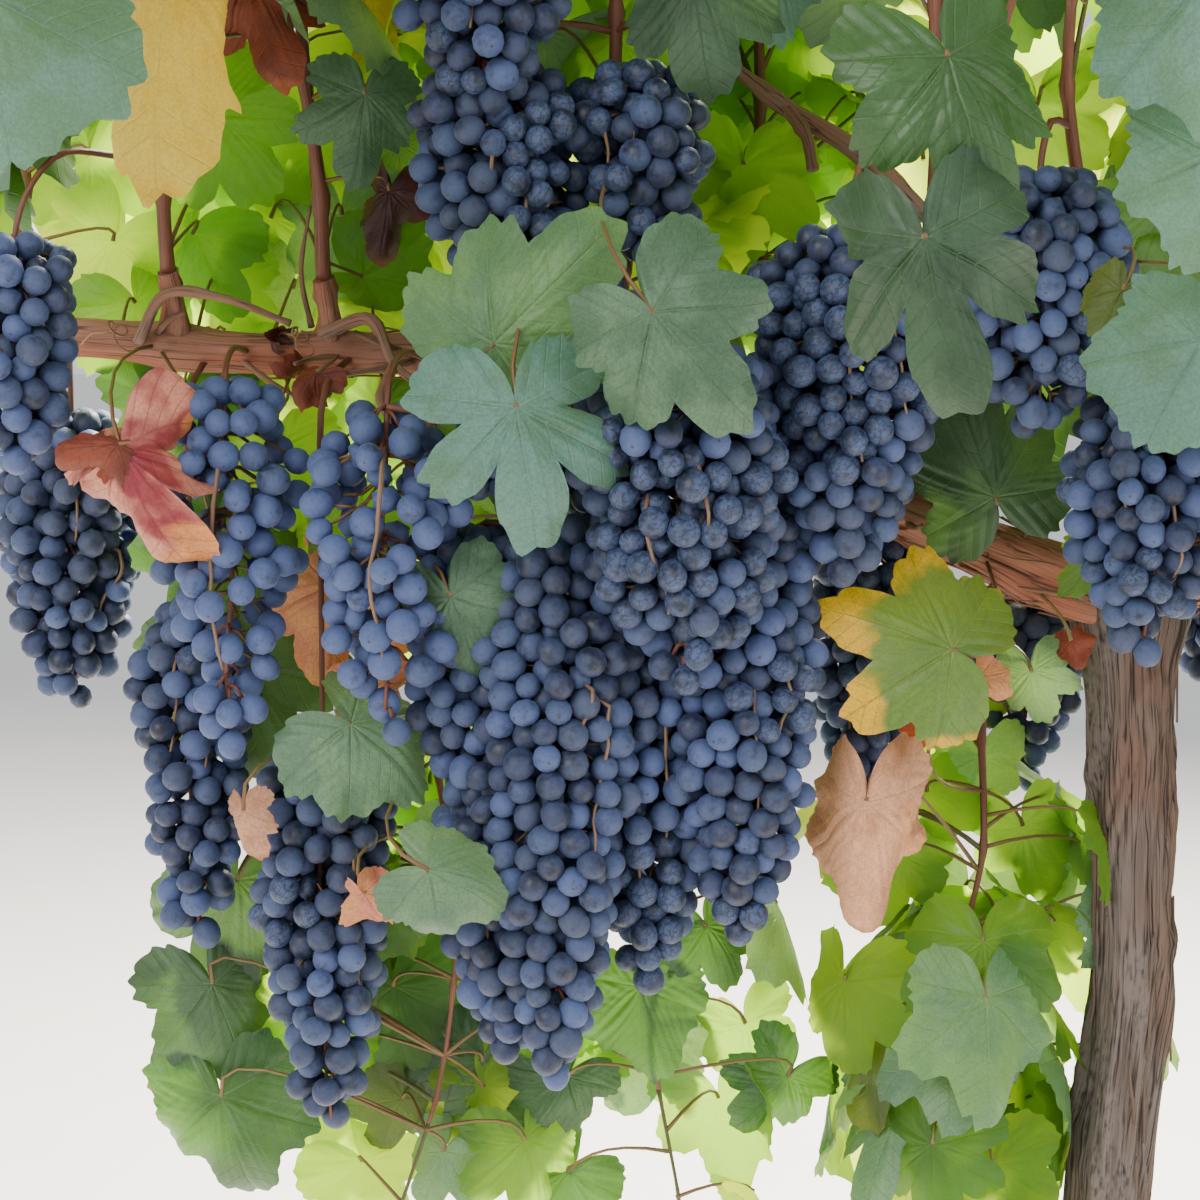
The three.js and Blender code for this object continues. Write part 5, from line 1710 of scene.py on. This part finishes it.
wax = nodes.minus(wax, crack, clamp=True)
scar = nodes.ramp(nodes.add("SeparateXYZ", [takes["Place"]])[1], 0.02, 0.045, 0.8, 0.0)
colour = nodes.blend(wax, takes["Skin"], takes["Wax"])
nodes.fill(end, {"Colour": nodes.blend(scar, colour, (0.05, 0.03, 0.02, 1)), "Height": fine,
                   "Wax share": wax})


def berry_material(name, skin, wax, worn, cracks, sheen):
    values = {"Skin": skin, "Wax": wax, "Worn": worn, "Cracks": cracks}
    material, nodes, shader, pattern = patterned_material(name, BLOOM, values, 0.35, 0.0006)
    nodes.fill(shader, {
        "Base Color": pattern["Colour"], "Sheen Weight": sheen, "Sheen Roughness": 0.5,
        "Sheen Tint": (170, 186, 220),
        "Roughness": nodes.ramp(pattern["Wax share"], 0.0, 1.0, 0.46, 0.68),
    })
    return material


# Skin, wax, how worn the wax is, cracks in it, and sheen
BERRY_KINDS = {
    "blue": ((34, 41, 70), (73, 88, 130), 0.25, 0.15, 0.10),
    "slate": ((28, 34, 56), (64, 78, 113), 0.28, 0.2, 0.10),
    "dusk": ((24, 29, 46), (52, 63, 95), 0.37, 0.25, 0.08),
    "grey": ((28, 33, 50), (61, 71, 98), 0.29, 0.2, 0.10),
    "cracked": ((24, 30, 48), (68, 83, 118), 0.36, 0.7, 0.06),
}
berry_materials = {
    kind: berry_material(f"berry_{kind}", *values) for kind, values in BERRY_KINDS.items()
}
print(len(berry_materials), "kinds of berry")

# %% [markdown]
# ### Packing the berries
# Berries press on each other until they fill the bunch. Each bunch starts with berries thrown into
# its envelope, and then every pair that overlaps is pushed apart a little, many times over, while
# the envelope and the berries of the bunches beside it hold them in. Balls could be dropped in by
# physics too, but this is quicker and ends the same each time.

# %% Berries pushed apart inside their bunch
BERRY_RADIUS = (0.0068, 0.0088)
SQUEEZE = 0.93
SETTLING_TURNS = 60
OWN_PUSH = 0.45
NEIGHBOUR_PUSH = 0.8
CLEAR_SHARE = 0.62
BERRY_SEED = 900
TINY = 1e-9


def half_width(bunch, height, angle):
    """How far the bunch reaches from its middle line at a height and an angle."""
    share = np.clip((bunch.top - height) / bunch.length, 0, 1)
    lump = 1 + 0.14 * np.sin(2 * angle + 12 * share + 40 * bunch.x) * np.sin(8 * share)
    lump += 0.08 * np.sin(5 * angle - 19 * share + 60 * bunch.x)
    return bunch.width / 2 * bunch_radius(share) * lump


def held_in(bunch, places, radii):
    """The places, moved just far enough to lie inside the bunch."""
    low, high = bunch.top - bunch.length + 0.8 * radii, bunch.top - 0.6 * radii
    places[:, 2] = np.clip(places[:, 2], low, high)
    x = places[:, 0] - bunch.x
    y = (places[:, 1] - bunch.y) / BUNCH_DEPTH
    most = np.maximum(half_width(bunch, places[:, 2], np.arctan2(y, x)) - 0.55 * radii, 0.001)
    scale = np.minimum(1, most / (np.hypot(x, y) + TINY))
    places[:, 0] = bunch.x + x * scale
    places[:, 1] = bunch.y + y * scale * BUNCH_DEPTH
    return places


def pushed(places, radii, others, other_radii):
    """How far each berry is pushed by others that it overlaps."""
    gap = places[:, None] - others[None]
    apart = np.sqrt((gap**2).sum(-1)) + TINY
    want = (radii[:, None] + other_radii[None]) * SQUEEZE
    push = np.clip(want - apart, 0, None)
    push[apart < 1000 * TINY] = 0
    return (gap * (push / apart)[..., None]).sum(1)


def pack(bunch, seed, packed, packed_radii):
    """Centres and radii of a bunch's berries, clear of those packed before."""
    chance = np.random.default_rng(seed)
    heights = np.linspace(0, 1, 60)
    areas = pi * BUNCH_DEPTH * (bunch.width / 2 * bunch_radius(heights)) ** 2
    berry_volume = 4 / 3 * pi * np.mean(BERRY_RADIUS) ** 3
    count = int(bunch.fill * areas.mean() * bunch.length / berry_volume)
    radii = chance.uniform(*BERRY_RADIUS, count)
    shares = np.interp(chance.uniform(size=count), np.cumsum(areas) / areas.sum(), heights)
    angles = chance.uniform(0, 2 * pi, count)
    outs = np.sqrt(chance.uniform(0.2, 1, count)) * bunch.width / 2 * bunch_radius(shares)
    x = bunch.x + outs * np.cos(angles)
    y = bunch.y + outs * np.sin(angles) * BUNCH_DEPTH
    places = np.stack([x, y, bunch.top - shares * bunch.length], -1)
    low, high = places.min(0) - 0.02, places.max(0) + 0.02
    near = np.all((packed > low) & (packed < high), axis=1)
    others, other_radii = packed[near], packed_radii[near]
    for _ in range(SETTLING_TURNS):
        places = places + OWN_PUSH * pushed(places, radii, places, radii)
        places = places + NEIGHBOUR_PUSH * pushed(places, radii, others, other_radii)
        places = held_in(bunch, places, radii)
    gaps = np.linalg.norm(places[:, None] - others[None], axis=2)
    clear = (gaps > CLEAR_SHARE * (radii[:, None] + other_radii[None])).all(1)
    return places[clear], radii[clear]


packed, packed_radii = np.zeros((0, 3)), np.zeros(0)
for number, bunch in enumerate(bunches):
    bunch.berries, bunch.radii = pack(bunch, BERRY_SEED + number, packed, packed_radii)
    packed = np.vstack([packed, bunch.berries])
    packed_radii = np.concatenate([packed_radii, bunch.radii])
print(len(packed), "berries")

# %% [markdown]
# ### How the berries hang
# The stem of a bunch sends out side branches at all heights, and each ends in the short stalks of a
# few berries. The berries are shared out by height and by the side they are on.

# %% The fork that each berry's stalk leaves
SPRAY_HEIGHT = 0.022
SPRAY_SIDES = 5
SPRAY_TWIST = 0.13
BRANCH_SHARE = 0.55
BRANCH_RISE = 0.012


def about_stem(bunch):
    """The angle of each berry about its bunch's middle line, and its distance from it."""
    x, y = bunch.berries[:, 0] - bunch.x, bunch.berries[:, 1] - bunch.y
    return np.arctan2(y, x), np.hypot(x, y)


def hang_berries(bunch):
    """Side branches as pairs of points, and for each berry the fork where its stalk starts."""
    angle, _ = about_stem(bunch)
    level = ((bunch.top - bunch.berries[:, 2]) / SPRAY_HEIGHT).astype(int)
    sector = ((angle / (2 * pi) + SPRAY_TWIST * level) % 1 * SPRAY_SIDES).astype(int)
    spray = level * SPRAY_SIDES + sector
    bunch.forks, bunch.branches = np.zeros_like(bunch.berries), []
    for number in np.unique(spray):
        mine = spray == number
        middle = bunch.berries[mine].mean(0)
        start = vec(bunch.x, bunch.y, min(middle[2] + BRANCH_RISE, bunch.top))
        fork = mix(start, middle, BRANCH_SHARE)
        bunch.forks[mine] = fork
        bunch.branches.append((start, fork))


for bunch in bunches:
    hang_berries(bunch)
print(sum(len(bunch.branches) for bunch in bunches), "side branches")

# %% [markdown]
# ### Berry meshes
# A berry's mesh has a pole at the flower scar and one at the stalk, turned so that it grows away
# from the bunch's stem. Berries that face the camera have more points than those inside or behind.

# %% Balls with a pole at each end


def ball(rings, around):
    """Points, triangles and places of a ball: its second place runs from scar to stalk."""
    polar = np.linspace(0, pi, rings + 1)[1:-1]
    angles = all_round(around)
    rows = np.stack(np.broadcast_arrays(
        np.sin(polar)[:, None] * np.cos(angles), np.sin(polar)[:, None] * np.sin(angles),
        np.cos(polar)[:, None] + 0 * angles), -1).reshape(-1, 3)
    points = np.vstack([rows, [[0, 0, 1], [0, 0, -1]]])
    shares = np.concatenate([np.repeat(polar / pi, around), [0, 1]])
    places = np.stack([np.zeros(len(points)), shares], -1)
    faces = tube_faces(rings - 1, around)[:, ::-1]
    return points, faces, places


def berry_points(shape, centres, radii, ways, seed):
    """A ball for each berry, its scar turned along ways, each stretched a little in its own way."""
    chance = np.random.default_rng(seed)
    helper = np.where(np.abs(ways[:, 2:]) < 0.9, UP, vec(1, 0, 0))
    first = unit(np.cross(helper, ways))
    second = np.cross(ways, first)
    stretch = chance.uniform(0.92, 1.05, (len(centres), 3)) * [1, 1, 1.06]
    local = shape[None] * (radii[:, None] * stretch)[:, None]
    x, y, z = (local[..., axis, None] for axis in range(3))
    return centres[:, None] + (x * first[:, None] + y * second[:, None] + z * ways[:, None])


BALLS = {"front": ball(8, 12), "side": ball(5, 8), "inner": ball(3, 5)}
print({name: len(shape[1]) for name, shape in BALLS.items()}, "triangles a berry")

# %% The berries, by kind
berry_piles = {kind: Pile() for kind in BERRY_KINDS}
DEPTH_THAT_SHOWS = 0.019
STRETCH_SEED = 40
# The share of a bunch whose wax is cracked, where it isn't small
CRACKED_SHARES = {
    "bunch_left_6": 0.35, "bunch_left_7": 0.2, "bunch_left_8": 0.45, "bunch_left_9": 0.5,
    "bunch_left_10": 0.25, "bunch_left_12": 0.6, "bunch_left_16": 0.4,
}
PLAIN_CRACKED_SHARE = 0.1
WAXED_KINDS = np.array(["dusk", "slate", "grey", "slate", "blue", "dusk"])


def berry_kinds(bunch):
    """A kind for each berry: neighbours tend to be alike, and the loose bunches are bluest, partly from
    their bloom and partly as painted sunlight.
    """
    centres = bunch.berries
    patches = noise(centres, 22, 31) + 0.3 * noise(centres, 120, 32)
    # The loose bunches take only the blue and slate kinds, whose lighter wax is partly painted
    # sunlight.
    if bunch.fill == LOOSE:
        return np.where(patches > 0.45, "slate", "blue")
    shade = noise(centres, 34, 33) + 0.7 * noise(centres, 170, 34)
    waxed = WAXED_KINDS[np.clip(((shade + 0.7) / 1.4 * 6).astype(int), 0, 5)]
    ranked = patches.argsort().argsort() / len(patches)
    return np.where(ranked < CRACKED_SHARES.get(bunch.name, PLAIN_CRACKED_SHARE), "cracked", waxed)


def berry_sizes(bunch):
    """How fine the mesh of each berry is: berries deep inside a bunch or out of sight are coarse."""
    centres = bunch.berries
    angle, across = about_stem(bunch)
    bunch.outer = half_width(bunch, centres[:, 2], angle) - across < DEPTH_THAT_SHOWS
    seen = np.array([in_picture(centre) for centre in centres])
    facing = bunch.outer & seen & (centres[:, 1] < bunch.y + 0.016) & (bunch.y < 0.03)
    return np.where(facing, "front", np.where(bunch.outer, "side", "inner"))


for number, bunch in enumerate(bunches):
    centres, radii = bunch.berries, bunch.radii
    ways = unit(centres - bunch.forks - UP * 0.004)
    kinds, sizes = berry_kinds(bunch), berry_sizes(bunch)
    for kind in BERRY_KINDS:
        for size, (shape, faces, places) in BALLS.items():
            mine = (kinds == kind) & (sizes == size)
            if mine.any():
                berries = centres[mine], radii[mine], ways[mine]
                points = berry_points(shape, *berries, STRETCH_SEED + number)
                berry_piles[kind].add(points, faces, places)
BUNCH_NAMES = sorted({bunch.name for bunch in bunches})
for kind, pile in berry_piles.items():
    stands_for = BUNCH_NAMES if kind == "blue" else ()
    pile.make(f"berries_{kind}", berry_materials[kind], "fruit", stands_for)

# %% [markdown]
# ### Stems of the bunches
# A bunch hangs on a woody stalk whose stem runs down through the fruit, and each berry has its own
# short stalk. They show most in the two loose bunches, as red-brown stems with tan stalks. Thin
# tubes are enough for them, and only berries near the surface need a stalk.

# %% Bunch stems and berry stalks
FRONT_STEMS = 2
STEM_SEED = 1500
FRONT_STEM_SEED = 1700
STEM_SWAY = (-0.003, 0.003)
STEM_SHARES = (0.45, 0.62, 0.78, 0.9)


def stem_point(bunch, share, sway):
    x, y = bunch.x + sway(*STEM_SWAY), bunch.y + sway(*STEM_SWAY)
    return vec(x, y, bunch.top - share * bunch.length)


def add_stems(bunch, sway):
    """The stem of a bunch, its side branches, and the stalks of the berries that show."""
    below = [stem_point(bunch, share, sway) for share in STEM_SHARES]
    line = smooth_line([*smooth_line(bunch.stalk, 14)[::3], *below], 26)
    add_tube(bunch_stems, line, np.linspace(0.0021, 0.0009, 27), 6)
    for start, fork in bunch.branches:
        sag = (start + fork) / 2 + UP * 0.002
        add_tube(bunch_stems, [start, sag, fork], [0.0014, 0.0011, 0.0010], 4)
    for index in np.flatnonzero(bunch.outer):
        centre, fork = bunch.berries[index], bunch.forks[index]
        foot = centre - unit(centre - fork) * bunch.radii[index] * 0.92
        add_tube(berry_stalks, [fork, foot], [0.0009, 0.0008], 3)


def add_front_stem(bunch, turn, high, low, radius):
    """A stem that runs down the front of a bunch, half sunk between the berries."""
    height = np.linspace(bunch.top - high * bunch.length, bunch.top - low * bunch.length, 14)
    angle = turn - pi / 2 + 0.10 * np.sin(height * 45 + 9 * turn)
    out = half_width(bunch, height, angle) - 0.0056 + 0.0012 * np.sin(height * 260)
    out[0] *= 0.5
    x, y = bunch.x + out * np.cos(angle), bunch.y + out * np.sin(angle) * BUNCH_DEPTH
    add_tube(front_stems, np.stack([x, y, height], -1), np.linspace(radius, 0.6 * radius, 14), 5)


bunch_stems, front_stems, berry_stalks = Pile(), Pile(), Pile()
for number, bunch in enumerate(bunches):
    add_stems(bunch, dice(STEM_SEED + number))
    throw = dice(FRONT_STEM_SEED + number)
    if bunch.fill == LOOSE:
        add_front_stem(bunch, throw(-0.3, 0.3), 0.12, 0.75, 0.0014)
        continue
    for _ in range(FRONT_STEMS):
        high = throw(0.08, 0.5)
        low = min(0.86, high + throw(0.2, 0.42))
        add_front_stem(bunch, throw(-1.0, 1.0), high, low, 0.0012)
front_stems.make("front_stems", wood["rachis_skin"], "fruit")
bunch_stems.make("bunch_stems", wood["cane_skin"], "fruit")
berry_stalks.make("berry_stalks", wood["stalk_skin"], "fruit")

# %% [markdown]
# ## Light and floor
# A plain pale floor, a broad soft light from the front left, a strong one high behind, which shines
# through the leaves, and a weak one from the front right, which lifts the shadows.

# %% Floor, lights and sky
floor_mesh = bpy.data.meshes.new("floor")
corners = [(x * 60, y * 60, -0.0005) for x, y in ((-1, -1), (1, -1), (1, 1), (-1, 1))]
floor_mesh.from_pydata(corners, [], [(0, 1, 2, 3)])
floor = placed("floor", floor_mesh)
floor_material, nodes, shader = new_material("pale_floor")
grain = nodes.noise(nodes.add("TexCoord")["Object"], 3.0, 4)
colour = nodes.blend(grain, (226, 220, 212), (236, 230, 224))
nodes.fill(shader, {"Base Color": colour, "Roughness": 0.9})
floor_mesh.materials.append(floor_material)
floor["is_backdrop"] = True


def soft_light(name, place, target, size, power, colour):
    data = bpy.data.lights.new(name, "AREA")
    data.shape = "DISK"
    data.size = size
    data.energy = power
    data.color = colour
    light = placed(name, data)
    light.location = place
    way = vec(*target) - vec(*place)
    light.rotation_euler = (
        atan2(hypot(way[0], way[1]), -way[2]), 0, atan2(way[1], way[0]) - pi / 2,
    )


VINE_MIDDLE = (-0.2, 0, 1.1)
soft_light("front_light", (-2.2, -3.2, 2.8), VINE_MIDDLE, 2.6, 135, (1.0, 0.98, 0.95))
soft_light("back_light", (0.6, 2.4, 3.4), VINE_MIDDLE, 1.2, 950, (1.0, 0.97, 0.88))
soft_light("fill_light", (2.6, -2.4, 1.6), VINE_MIDDLE, 2.4, 36, (0.92, 0.96, 1.0))

world = bpy.data.worlds.new("sky")
world.use_nodes = True
world.node_tree.nodes["Background"].inputs["Color"].default_value = (0.86, 0.92, 1.0, 1)
world.node_tree.nodes["Background"].inputs["Strength"].default_value = 0.95
bpy.context.scene.world = world
print("lights set")

# %% [markdown]
# ## The two boxes
# The dressed vine has to stay within the solids' box, give or take a little for leaves.

# %% Sizes, and the last line
low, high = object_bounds()
({
    "cad": [[float(v) for v in CAD_LOW], [float(v) for v in CAD_HIGH]],
    "visual": [[float(v) for v in low], [float(v) for v in high]],
})
total = sum(count for _, count in ALL_PIECES)
print(len(ALL_PIECES), "pieces,", total, "triangles")
print("visual box from", [round(v, 3) for v in low], "to", [round(v, 3) for v in high])
